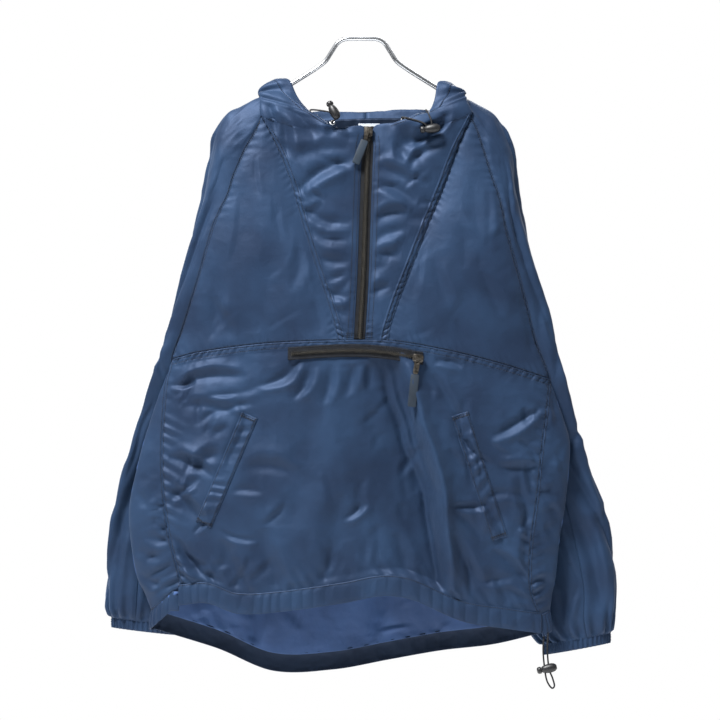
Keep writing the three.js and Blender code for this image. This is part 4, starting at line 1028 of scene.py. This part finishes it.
for name, part in sides.items():
    sign, seed = part["sign"], part["seed"]
    panel = chestSurface(part["rows"], part["gore"])
    chest = clothPiece("chest_" + name, panel, -sign, chestRelief(name, seed), reverse=nylonReverse)
    stitchAlong(chest, "left", 2)
    stitchAlong(chest, "bottom", 1.6)
    sleeve = clothPiece(
        "sleeve_" + name, sleeveSurface(part["rows"]), sign, sleeveRelief(name, seed + 20),
        edgeShare=0.3, reverse=nylonReverse,
    )
    stitchAlong(sleeve, "left", 1.8, 0, 0.6)

    def elastic(d, p, seed=seed):  # a band drawn in: many small upright gathers and three rows of stitching
        ribs = np.sin(2 * np.pi * 42 * d.u + 1.6 * wander(d.u * 14, seed))
        ribs *= 0.7 + 0.3 * noise(d.u * 30, d.v * 2, seed)
        rows = sum(np.exp(-(((d.top - at) / 0.7) ** 2)) for at in (3, 6, 9))
        return 1.1 * ribs * (1 - 0.35 * rows) + 0.8 * np.sin(np.pi * d.v) - 0.3 * rows

    clothPiece("cuff_" + name, cuffSurface(part["rows"]), sign, elastic, closed=True, layer=cloth["doubled"])
print("stage: sleeves")

# Gore and hood, cut in one: wrinkles across the gore, folds from the roll, the hem tunnel along the face
goreFolds = {
    "right": folds("""
-78 -196 -10 -166 6 8 6 -0.9
-90 -158 -18 -150 5 9 3 0.6
-74 -226 -12 -246 -5 7 4.5 -0.8
-68 -252 -14 -268 -4 6 4 -0.8
-58 -288 -12 -296 -3 6 3.5 0.7
-46 -330 -10 -340 -3 6 3.5 -0.7
-40 -352 -12 -366 0 5 3 0.7
-108 -100 -96 -160 5 8 4 0.7
-92 -92 -60 -140 6 8 4 0.7
-122 -90 -112 -130 3 6 3.5 0.6
"""),
    "left": folds("""
18 -166 66 -196 4 9 5 0.8
22 -192 72 -222 3 8 4.5 -0.8
16 -244 62 -234 4 7 4 0.8
18 -270 62 -256 3 6 4 -0.8
16 -292 56 -284 2 6 3.5 0.7
14 -338 42 -322 2 6 3.5 0.7
40 -150 98 -136 6 14 8 0.5
70 -140 112 -116 5 8 6 0.8
60 -172 112 -140 5 7 4.5 0.8
108 -100 96 -128 2 6 3.5 0.7
"""),
}


def hoodRelief(name, seed):
    span = (16, 110) if name == "left" else (-110, -6)
    wrinkles = scatter(22, (*span, -380, -110), seed, 0, 45, 2.2, 50)

    def relief(d, p):
        x, y, z = p[..., 0], p[..., 1], p[..., 2]
        front = smooth((0 - y) / 12)  # the gore's folds lie on the front alone
        row = d.v * middleRow
        fade = smooth(d.left / 12) * smooth(d.right / 14) * smooth(d.top / 10)
        form = 1.25 * foldHeight(goreFolds[name] + wrinkles, x, z) * front
        form += 0.8 * crumple(x + 0.6 * y, z, 40, seed) + 0.3 * crumple(x + y, z, 16, seed + 2)
        spread = smooth((row - 9) / 2) * smooth((15.5 - row) / 2)  # short folds over the roll at the shoulder
        wave = np.sin(2 * np.pi * (row * 0.62) + 3 * wander(row, seed))
        form += 2.4 * spread * wave * np.sin(np.pi * d.u)
        pouch = smooth((row - 15) / 2)
        form += pouch * (3.5 * np.sin(2 * np.pi * (row - 15) * 0.55 + 2.2 * d.u) * np.sin(np.pi * d.u) ** 0.6)
        seam = puckers(z, d.left, 8.4, 0.9, 14, seed + 4, 0.4) * smooth((8.2 - row) / 0.6)
        tunnel = puckers(d.v * 900, d.right, 12, 1.3, 20, seed + 6, 0.3) * smooth((row - 8.6) / 0.8)
        zipEdge = puckers(z, d.right, 9, 0.7, 9, seed + 8) * smooth((7.8 - row) / 0.6)
        flatten = 0.8 * (1 - smooth((np.abs(d.right - 9) - 7) / 3)) * smooth((row - 8.6) / 0.8)
        return form * fade + seam + tunnel + zipEdge + flatten + lap(d.left, z) * smooth((8.4 - row) / 0.4)

    return relief


hoods = {}
for name, part in sides.items():
    surface = hoodSurface(hoodTables[name], part["rows"], part["gore"], part["sign"])
    relief = hoodRelief(name, part["seed"] + 50)
    hood = clothPiece("hood_" + name, surface, part["sign"], relief, edgeShare=0.4)
    for away in (1.8, 7.2):
        stitchAlong(hood, "left", away, 0, neckRow / middleRow)
    for away in (2.5, 8):
        stitchAlong(hood, "right", away, 0, neckRow / middleRow)
    stitchAlong(hood, "right", 18, (neckRow + 0.5) / middleRow, 1)
    hoods[name] = hood
print("stage: hood")


# Below the zip the two edges of the gore are stitched together across
def onPanel(panel, x, z):
    spots = np.abs(panel.points[..., 0] - x) + np.abs(panel.points[..., 2] - z)
    spots = spots + 9 * (panel.points[..., 1] > -30)  # the front of the piece, not its far side
    at = np.unravel_index(np.argmin(spots), spots.shape)
    return np.array([x, panel.points[at][1] - 0.1, z]), panel.normals[at]


for z in (-386.5, -389, -391.5):
    row = [onPanel(hoods["right" if x < -2 else "left"], x, z) for x in np.arange(-20, 16.1, 3)]
    stitchLine(np.array([spot for spot, _ in row]), np.array([normal for _, normal in row]))

# Welt pockets, stitched down on three sides and drawn together between
weltWidth = 22
welts = {  # the middle of the top end and of the bottom end: x, z, x, z
    "welt_right": [-143, -492, -203, -633],
    "welt_left": [127, -490, 179, -651],
}
for name, (topX, topZ, bottomX, bottomZ) in welts.items():
    length = math.hypot(bottomX - topX, bottomZ - topZ)
    dx, dz = (bottomX - topX) / length, (bottomZ - topZ) / length

    def strip(u, v):
        across = (u - 0.5) * weltWidth
        x = mix(topX, bottomX, v) - dz * across
        z = mix(topZ, bottomZ, v) + dx * across
        p = frontPoint(x, z)
        p[..., 1] -= frontRelief(x, z) + cloth["seam"] + cloth["wall"]
        return p

    def weltRelief(d, p, seed=len(name)):
        edge = np.minimum(np.minimum(d.left, d.right), np.minimum(d.top, d.bottom))
        puff = smooth(edge / 4)
        gathers = np.sin(2 * np.pi * d.top / 17 + 0.16 * d.left + 4 * wander(d.top / 30, seed))
        gathers *= 0.5 + 0.5 * wander(d.top / 21, seed + 1, 3)
        rows = np.exp(-(((edge - 2.2) / 0.8) ** 2))
        return 1.0 * puff + 1.3 * gathers * puff - 0.5 * rows - 0.9 * (1 - smooth(edge / 1.5))

    doubled = {"layer": cloth["doubled"], "reverse": nylonReverse}
    welt = clothPiece(name, strip, 1, weltRelief, edgeShare=0.2, **doubled)
    for edge in ("left", "right", "top", "bottom"):
        stitchAlong(welt, edge, 2.2)
    for away in (4, 4.7, 5.4):  # bartacks at both ends
        for edge in ("top", "bottom"):
            stitchAlong(welt, edge, away)

# Zip tapes and their strips of teeth
zipSizes = {"tape": 14.4, "teeth": 6, "top": -119, "bottom": -394.6, "pitch": 2.9}
pocket = {"height": 16.5, "teeth": 5, "from": -94, "to": 80, "pitch": 2.5}
pocketZ = track([-94, -40, 1, 40, 80], [-413, -409.5, -409, -412.5, -419])
tapeLift = cloth["seam"] + cloth["wall"] + 0.9


def zipStrip(u, v):
    z = mix(zipSizes["top"], zipSizes["bottom"], v)
    return stack(zipX(z) + (u - 0.5) * zipSizes["tape"], zipY(z) + 0.6, z)


def pocketStrip(u, v):
    x = mix(pocket["from"], pocket["to"], u)
    z = pocketZ(x) + (0.5 - v) * pocket["height"]
    p = frontPoint(x, z)
    p[..., 1] -= tapeLift
    return p


def tapeRelief(d, p):
    return 0.12 * np.sin(p[..., 2] * 2.2) * np.sin(p[..., 0] * 2.2)


clothPiece("front_zip_tape", zipStrip, 1, tapeRelief, material=zipTapeCloth, layer=0.7)
pocketTape = clothPiece("pocket_zip_tape", pocketStrip, 1, tapeRelief, material=zipTapeCloth, layer=0.7)
for edge in ("top", "bottom"):
    stitchAlong(pocketTape, edge, 1.6)
buildStitches("seam_stitches")


def toothRow(name, place, count, reach, size, material):
    # teeth alternate left and right of the line and hook past its middle; place: centre, along, across, out
    bm = bmesh.new()
    for i in range(count):
        centre, along, across, out = place((i + 0.5) / count)
        hand = 1 if i % 2 else -1
        turn = Matrix((along, across, out)).transposed().to_4x4()
        middle = Matrix.Translation((centre + across * hand * reach * 0.22) * mm) @ turn
        block = Matrix.Diagonal((size * mm, reach * 1.1 * mm, 1.5 * mm, 1))
        made = bmesh.ops.create_cube(bm, size=1, matrix=middle @ block)
        faces = {f for v in made["verts"] for f in v.link_faces}
        high = (centre.dot(out) + 0.6) * mm
        tops = [f for f in faces if f.normal.dot(Vector(out)) > 0.9 or f.calc_center_median().dot(out) > high]
        bmesh.ops.inset_individual(bm, faces=tops[:1], thickness=0.28 * mm, depth=0.25 * mm)
    obj = objectOf(bm, name)
    return finish(obj, name, material, smoothFaces=False)


def toothPlace(centre, ahead, across):  # where a tooth sits and which ways are along, across and out
    along = (ahead - centre).normalized()
    across = (across - along * across.dot(along)).normalized()
    out = along.cross(across)
    return centre, along, across, out * (-1 if out.y > 0 else 1)


def frontToothPlace(t):
    z = mix(zipSizes["top"] - 1, zipSizes["bottom"] + 1, t)
    centre = Vector((float(zipX(z)), float(zipY(z)) + 0.6 - 0.3 - 1.0, z))
    ahead = Vector((float(zipX(z - 1)), float(zipY(z - 1)) - 0.7, z - 1))
    return toothPlace(centre, ahead, Vector((1, 0, 0)))


def pocketToothPlace(t):
    x = mix(pocket["from"] + 4, pocket["to"] - 4, t)
    z = float(pocketZ(x))
    p = frontPoint(np.array(x), np.array(z))
    ahead = frontPoint(np.array(x + 1.0), pocketZ(x + 1.0))
    lift = -(tapeLift + 1.0)
    centre = Vector((x, float(p[1]) + lift, z))
    return toothPlace(centre, Vector(ahead.tolist()) + Vector((0, lift, 0)), Vector((0, 0, 1)))


frontCount = int((zipSizes["top"] - zipSizes["bottom"]) / zipSizes["pitch"] * 2)
toothRow("front_zip_teeth", frontToothPlace, frontCount, zipSizes["teeth"] * 0.7, 1.05, acetal)
pocketCount = int((pocket["to"] - pocket["from"] - 8) / pocket["pitch"] * 2)
toothRow("pocket_zip_teeth", pocketToothPlace, pocketCount, pocket["teeth"] * 0.7, 0.95, acetal)
print("stage: zips")


# Sliders, links and tabs
def barFrame(start, end):
    start, end = Vector(start), Vector(end)
    along = (end - start).normalized()
    face = Vector((0, -1, 0))
    face = (face - along * face.dot(along)).normalized()
    return start, end, Matrix((along.cross(face), along, face)).transposed().to_4x4()


def roundedBar(start, end, width, thickness, corner, soft=0.35, hole=None, recess=0.0):
    # a flat bar with round corners; hole = (distance from its start, radius); recess = its face's depth
    start, end, turn = barFrame(start, end)
    length = (end - start).length
    bm = bmesh.new()
    made = bmesh.ops.create_grid(bm, x_segments=1, y_segments=1, size=0.5)
    bmesh.ops.scale(bm, vec=(width, length, 1), verts=made["verts"])
    bmesh.ops.bevel(
        bm, geom=bm.verts[:], offset=corner, segments=5, affect="VERTICES", profile=0.5, material=-1
    )
    if hole:
        away, radius = hole
        ring = bmesh.ops.create_circle(bm, cap_ends=False, segments=20, radius=radius)
        bmesh.ops.translate(bm, vec=(0, away - length / 2, 0), verts=ring["verts"])
        bmesh.ops.delete(bm, geom=bm.faces[:], context="FACES_ONLY")
        bmesh.ops.triangle_fill(bm, use_beauty=True, use_dissolve=False, edges=bm.edges[:])
    faces = bm.faces[:]
    if recess:
        bmesh.ops.inset_region(bm, faces=faces, thickness=width * 0.16, depth=0)
        bmesh.ops.inset_region(bm, faces=faces, thickness=0.3, depth=-recess)
    bmesh.ops.solidify(bm, geom=bm.faces[:], thickness=thickness)
    bmesh.ops.recalc_face_normals(bm, faces=bm.faces)
    lowest = min(v.co.z for v in bm.verts)
    highest = max(v.co.z for v in bm.verts)
    bmesh.ops.translate(bm, vec=(0, 0, -(lowest + highest) / 2), verts=bm.verts)
    rims = [e for e in bm.edges if len(e.link_faces) == 2 and e.calc_face_angle(0) > 1.2]
    bmesh.ops.bevel(bm, geom=rims, offset=soft, segments=2, affect="EDGES", profile=0.5, material=-1)
    place = Matrix.Scale(mm, 4) @ Matrix.Translation((start + end) / 2) @ turn
    bmesh.ops.transform(bm, matrix=place, verts=bm.verts)
    return bm


def sliderForm(start, end, width, thickness):  # a rounded shield with a recessed face and a raised bridge on it
    bm = roundedBar(start, end, width, thickness, 2.6, 0.6, recess=0.4)
    begin, stop, turn = barFrame(start, end)
    bridge = bmesh.ops.create_cube(bm, size=1)["verts"]
    length = (stop - begin).length
    bmesh.ops.scale(bm, vec=(2.6, length * 0.62, 1.4), verts=bridge)
    edges = list({e for v in bridge for e in v.link_edges})
    made = bmesh.ops.bevel(
        bm, geom=edges, offset=0.5, segments=3, affect="EDGES", profile=0.5, material=-1
    )
    middle = (begin + stop) / 2
    place = Matrix.Scale(mm, 4) @ Matrix.Translation(middle) @ turn
    place = place @ Matrix.Translation((0, 0, thickness / 2))
    bmesh.ops.transform(bm, matrix=place, verts=made["verts"])
    return bm


pulls = {  # start, end, width and thickness; the links and tabs also have the radius of their corners
    "front": {
        "slider": [(9.8, -34.7, -119.5), (9.2, -35.9, -132.5), 11, 4.4],
        "link": [(9, -38.7, -124), (5.2, -39.5, -137), 5, 1.4, 2.2],
        "tab": [(5, -39.7, -137.6), (-7, -44.6, -168), 10, 2, 2],
    },
    "pocket": {
        "slider": [(66.5, -58.9, -417.6), (80, -58.4, -419.8), 10, 4.4],
        "link": [(73, -62.3, -420), (69.5, -62.7, -439), 7, 1.6, 2.6],
        "tab": [(69.4, -62.7, -439.6), (65, -63.9, -481), 11, 2.2, 2],
    },
}
for name, pull in pulls.items():
    finish(objectOf(sliderForm(*pull["slider"]), name + "_slider_form"), name + "_zip_slider", zinc)
    link = roundedBar(*pull["link"], soft=0.3, hole=(4, 1.2) if name == "pocket" else None)
    finish(objectOf(link, name + "_link_form"), name + "_zip_link", zinc, name + "_pull")
    tab = roundedBar(*pull["tab"], soft=0.45, recess=0.35)
    finish(objectOf(tab, name + "_tab_form"), name + "_zip_tab", softVinyl, name + "_pull")


def spun(bm, steps):  # the profile in bm, in mm, turned once round +Z
    bmesh.ops.spin(
        bm, geom=bm.verts[:] + bm.edges[:], cent=(0, 0, 0), axis=(0, 0, 1), angle=2 * math.pi,
        steps=steps, use_merge=True,
    )


# Eyelets: rolled rings, each lying on the hood
eyelets = {
    "eyelet_right_upper": [(-65.9, -27.4, -100.9), (0.34, -0.53, 0.78)],
    "eyelet_right_lower": [(-37, -37, -115), (0.2, -0.8, 0.56)],
    "eyelet_left_upper": [(86, -27.8, -101.3), (-0.47, -0.23, 0.85)],
    "eyelet_left_lower": [(55, -33.5, -110.5), (-0.15, -0.7, 0.7)],
}
for name, (centre, facing) in eyelets.items():
    bm = bmesh.new()
    ring = bmesh.ops.create_circle(bm, cap_ends=False, segments=12, radius=0.8)["verts"]
    bmesh.ops.scale(bm, vec=(1.15, 0.8, 1), verts=ring)
    bmesh.ops.rotate(bm, cent=(0, 0, 0), matrix=Matrix.Rotation(math.pi / 2, 3, "X"), verts=ring)
    bmesh.ops.translate(bm, vec=(2.7, 0, 0), verts=ring)
    spun(bm, 36)
    bmesh.ops.recalc_face_normals(bm, faces=bm.faces)
    turn = Vector((0, 0, 1)).rotation_difference(Vector(facing)).to_matrix().to_4x4()
    bmesh.ops.transform(bm, matrix=Matrix.Scale(mm, 4) @ Matrix.Translation(centre) @ turn, verts=bm.verts)
    finish(objectOf(bm, name + "_ring"), name, eyeletMetal)


# Cords and their locks, on the routes of their solids
def smoothPath(points, share=12):  # the points joined by a smooth line, in mm
    points = [np.array(p, float) for p in points]
    ends = [2 * points[0] - points[1]] + points + [2 * points[-1] - points[-2]]
    line = []
    for i in range(len(points) - 1):
        a, b, c, d = ends[i : i + 4]
        for t in np.arange(share) / share:
            square, cube = 2 * a - 5 * b + 4 * c - d, 3 * b - a - 3 * c + d
            line.append(0.5 * (2 * b + (c - a) * t + square * t**2 + cube * t**3))
    return line + [points[-1]]


def tubeCurve(name, points, radius, sides=6):
    curve = bpy.data.curves.new(name, "CURVE")
    curve.dimensions = "3D"
    curve.bevel_depth = radius * mm
    curve.bevel_resolution = sides
    curve.use_fill_caps = True
    spline = curve.splines.new("POLY")
    spline.points.add(len(points) - 1)
    for spot, p in zip(spline.points, points):
        spot.co = (*[float(c) * mm for c in p], 1)
    spline.use_smooth = True
    obj = bpy.data.objects.new(name, curve)
    bpy.context.scene.collection.objects.link(obj)
    return obj


def leave(eyelet, height):
    centre, facing = eyelets[eyelet]
    return (Vector(centre) + Vector(facing).normalized() * height)[:]


cords = {
    "hood_cord_right": {
        "lock": [(-30, -41, -110), (-42, -35, -87)],
        "ends": ["eyelet_right_upper", "eyelet_right_lower"],
        "middle": [(-54, -38, -99), (-43, -41, -101), (-34, -39.5, -103), (-28, -40, -107)],
    },
    "hood_cord_left": {
        "lock": [(102, -43, -121.5), (77, -44, -124.5)],
        "ends": ["eyelet_left_upper", "eyelet_left_lower"],
        "middle": [(89, -40, -108), (91, -44, -117), (88, -44, -123), (79, -44, -115)],
    },
    "hem_cord": {
        "lock": [(253, -26, -817.5), (227.5, -27, -823)],
        "middle": [
            (237, -24, -773.4), (235.5, -25, -796), (237.5, -26.5, -820.5), (240.5, -27, -836),
            (246.5, -27, -845), (250, -27, -842), (247.5, -27, -832), (243, -26.5, -819.5),
            (241, -25, -796), (242, -24, -773.4),
        ],
    },
}
lockProfile = [  # along the lock from its start, and the radius there
    [0, 0.01], [0, 2.6], [0.5, 3.2], [1.6, 4.2], [3, 5.1], [5, 5.7], [7.5, 6], [10, 6], [12.5, 5.8],
    [15, 5.4], [17, 4.9], [18.6, 4.2], [19.6, 3.3], [20.2, 3.2], [20.6, 4.2], [21.4, 4.6], [23, 4.6],
    [24.6, 4.2], [25.6, 3.4], [26, 2.2], [26, 0.01],
]
for name, cord in cords.items():
    route = cord["middle"]
    if "ends" in cord:
        first, last = cord["ends"]
        route = [leave(first, 0), leave(first, 4), *route, leave(last, 4), leave(last, 0)]
    line = smoothPath(route)
    length = sum(np.linalg.norm(b - a) for a, b in zip(line, line[1:]))
    lines = bmesh.new()
    spots = [lines.verts.new((radius, 0, along)) for along, radius in lockProfile]
    for a, b in zip(spots, spots[1:]):
        lines.edges.new((a, b))
    spun(lines, 32)
    bmesh.ops.remove_doubles(lines, verts=lines.verts, dist=0.02)
    bmesh.ops.recalc_face_normals(lines, faces=lines.faces)
    start, end = (Vector(p) for p in cord["lock"])
    turn = (end - start).to_track_quat("Z", "Y").to_matrix().to_4x4()
    place = Matrix.Scale(mm, 4) @ Matrix.Translation(start) @ turn
    bmesh.ops.transform(lines, matrix=place, verts=lines.verts)
    lock = finish(objectOf(lines, name + "_lock_form"), name + "_lock", lockPlastic)
    tube = tubeCurve(name + "_braid", line, 1.1)
    tube.data.materials.append(braid)
    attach(tube, "body")
    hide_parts(name)
    float(length) * mm

# The hanger: one bent rod
arm = [
    (20, -3.6), (30, -8.5), (38, -20), (46, -32), (56, -40), (68, -48), (92, -63), (110, -73.9), (126, -81.7),
    (141, -89.1), (157, -97), (168, -103.3),
]
rod = [(-x, 0, z) for x, z in reversed(arm)] + [(0, 0, -3)] + [(x, 0, z) for x, z in arm]
hanger = tubeCurve("hanger_rod", smoothPath(rod), 3, 10)
hanger.data.materials.append(platedRod)
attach(hanger, "body")
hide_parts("hanger")


# Neck label: a folded satin tag, bare
label = {"x": 10.5, "y": 17.0, "top": -112.5, "width": 28, "height": 20}


def labelSurface(u, v):
    across, down = (u - 0.5) * label["width"], label["height"] * v
    return stack(label["x"] + across, label["y"] + 0 * u, label["top"] - down)


def labelRelief(d, p):
    return 0.5 * np.sin(3.1 * d.u + 1) * d.v - 0.25 * np.exp(-(((d.top - 2) / 0.6) ** 2))


clothPiece("neck_label", labelSurface, 1, labelRelief, material=labelSatin)
print("stage: cords and trim")

# Floor and light
bm = bmesh.new()
floorSize, floorHeight, aim = 1.9, -1.25, (0, 0, -0.42)
bmesh.ops.create_grid(bm, x_segments=8, y_segments=8, size=floorSize)
bmesh.ops.translate(bm, vec=(0, 0, floorHeight), verts=bm.verts)
floor = objectOf(bm, "floor")
floor.data.materials.append(board)

world = bpy.data.worlds.new("studio")
world.use_nodes = True
# A white backdrop behind the anorak, a dimmer room before it
room = world.node_tree
direction = {"Vector": addNode(room, "ShaderNodeTexCoord").outputs["Generated"]}
depth = addNode(room, "ShaderNodeSeparateXYZ", direction).outputs["Y"]
share = {"Value": depth, "From Min": -0.6, "From Max": 0.4, "To Min": 0.34, "To Max": 1.0}
brightness = addNode(room, "ShaderNodeMapRange", share).outputs["Result"]
sky = room.nodes["Background"].inputs
room.links.new(brightness, sky["Strength"])
sky["Color"].default_value = linear("#ffffff")
bpy.context.scene.world = world
lights = {
    "key": {"at": (-1.3, -1.6, 2.6), "size": 1.0, "watts": 580},
    "fill": {"at": (2.4, -2.2, 0.8), "size": 1.6, "watts": 12},
    "rim": {"at": (0.4, 2.2, 1.4), "size": 1.4, "watts": 50},
}
for name, light in lights.items():
    data = bpy.data.lights.new(name, "AREA")
    data.size = light["size"]
    data.energy = light["watts"]
    lamp = bpy.data.objects.new(name, data)
    lamp.location = light["at"]
    lamp.rotation_euler = (Vector(aim) - Vector(light["at"])).to_track_quat("-Z", "Y").to_euler()
    bpy.context.scene.collection.objects.link(lamp)
print("stage: light")

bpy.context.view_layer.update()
# Cuts of what shows of each piece of cloth, in metres: finished size, seam allowances and what is gathered in
cuts = {
    "front_body": {"flat": (0.55, 0.36), "area": 0.176, "held": "hung", "on": ["chest_left", "chest_right"]},
    "back_body": {"flat": (0.7, 0.76), "area": 0.352, "held": "hung", "on": ["hanger"]},
    "chest_left": {"flat": (0.24, 0.38), "area": 0.039, "held": "hung", "on": ["sleeve_left"]},
    "chest_right": {"flat": (0.24, 0.36), "area": 0.039, "held": "hung", "on": ["sleeve_right"]},
    "sleeve_left": {"flat": (0.38, 0.82), "area": 0.18, "held": "hung", "on": ["hanger"]},
    "sleeve_right": {"flat": (0.38, 0.81), "area": 0.18, "held": "hung", "on": ["hanger"]},
    "hood_left": {"flat": (0.45, 0.66), "area": 0.094, "held": "folded", "on": ["hanger"]},
    "hood_right": {"flat": (0.45, 0.66), "area": 0.094, "held": "folded", "on": ["hanger"]},
    "cuff_left": {"flat": (0.28, 0.0135), "held": "gathered", "on": ["sleeve_left"]},
    "cuff_right": {"flat": (0.28, 0.0135), "held": "gathered", "on": ["sleeve_right"]},
    "front_hem_casing": {"flat": (0.53, 0.028), "held": "gathered", "on": ["front_body"]},
    "back_hem_casing": {"flat": (0.68, 0.028), "held": "gathered", "on": ["back_body"]},
    "welt_left": {"flat": (0.026, 0.178), "held": "laid", "on": ["front_body"]},
    "welt_right": {"flat": (0.026, 0.162), "held": "laid", "on": ["front_body"]},
    "front_zip_tape": {"flat": (0.0145, 0.278), "held": "hung", "on": ["hood_left", "hood_right"]},
    "pocket_zip_tape": {"flat": (0.176, 0.017), "held": "laid", "on": ["front_body"]},
    "neck_label": {"flat": (0.028, 0.022), "held": "hung", "on": ["back_body"]},
}
for name, cut in cuts.items():
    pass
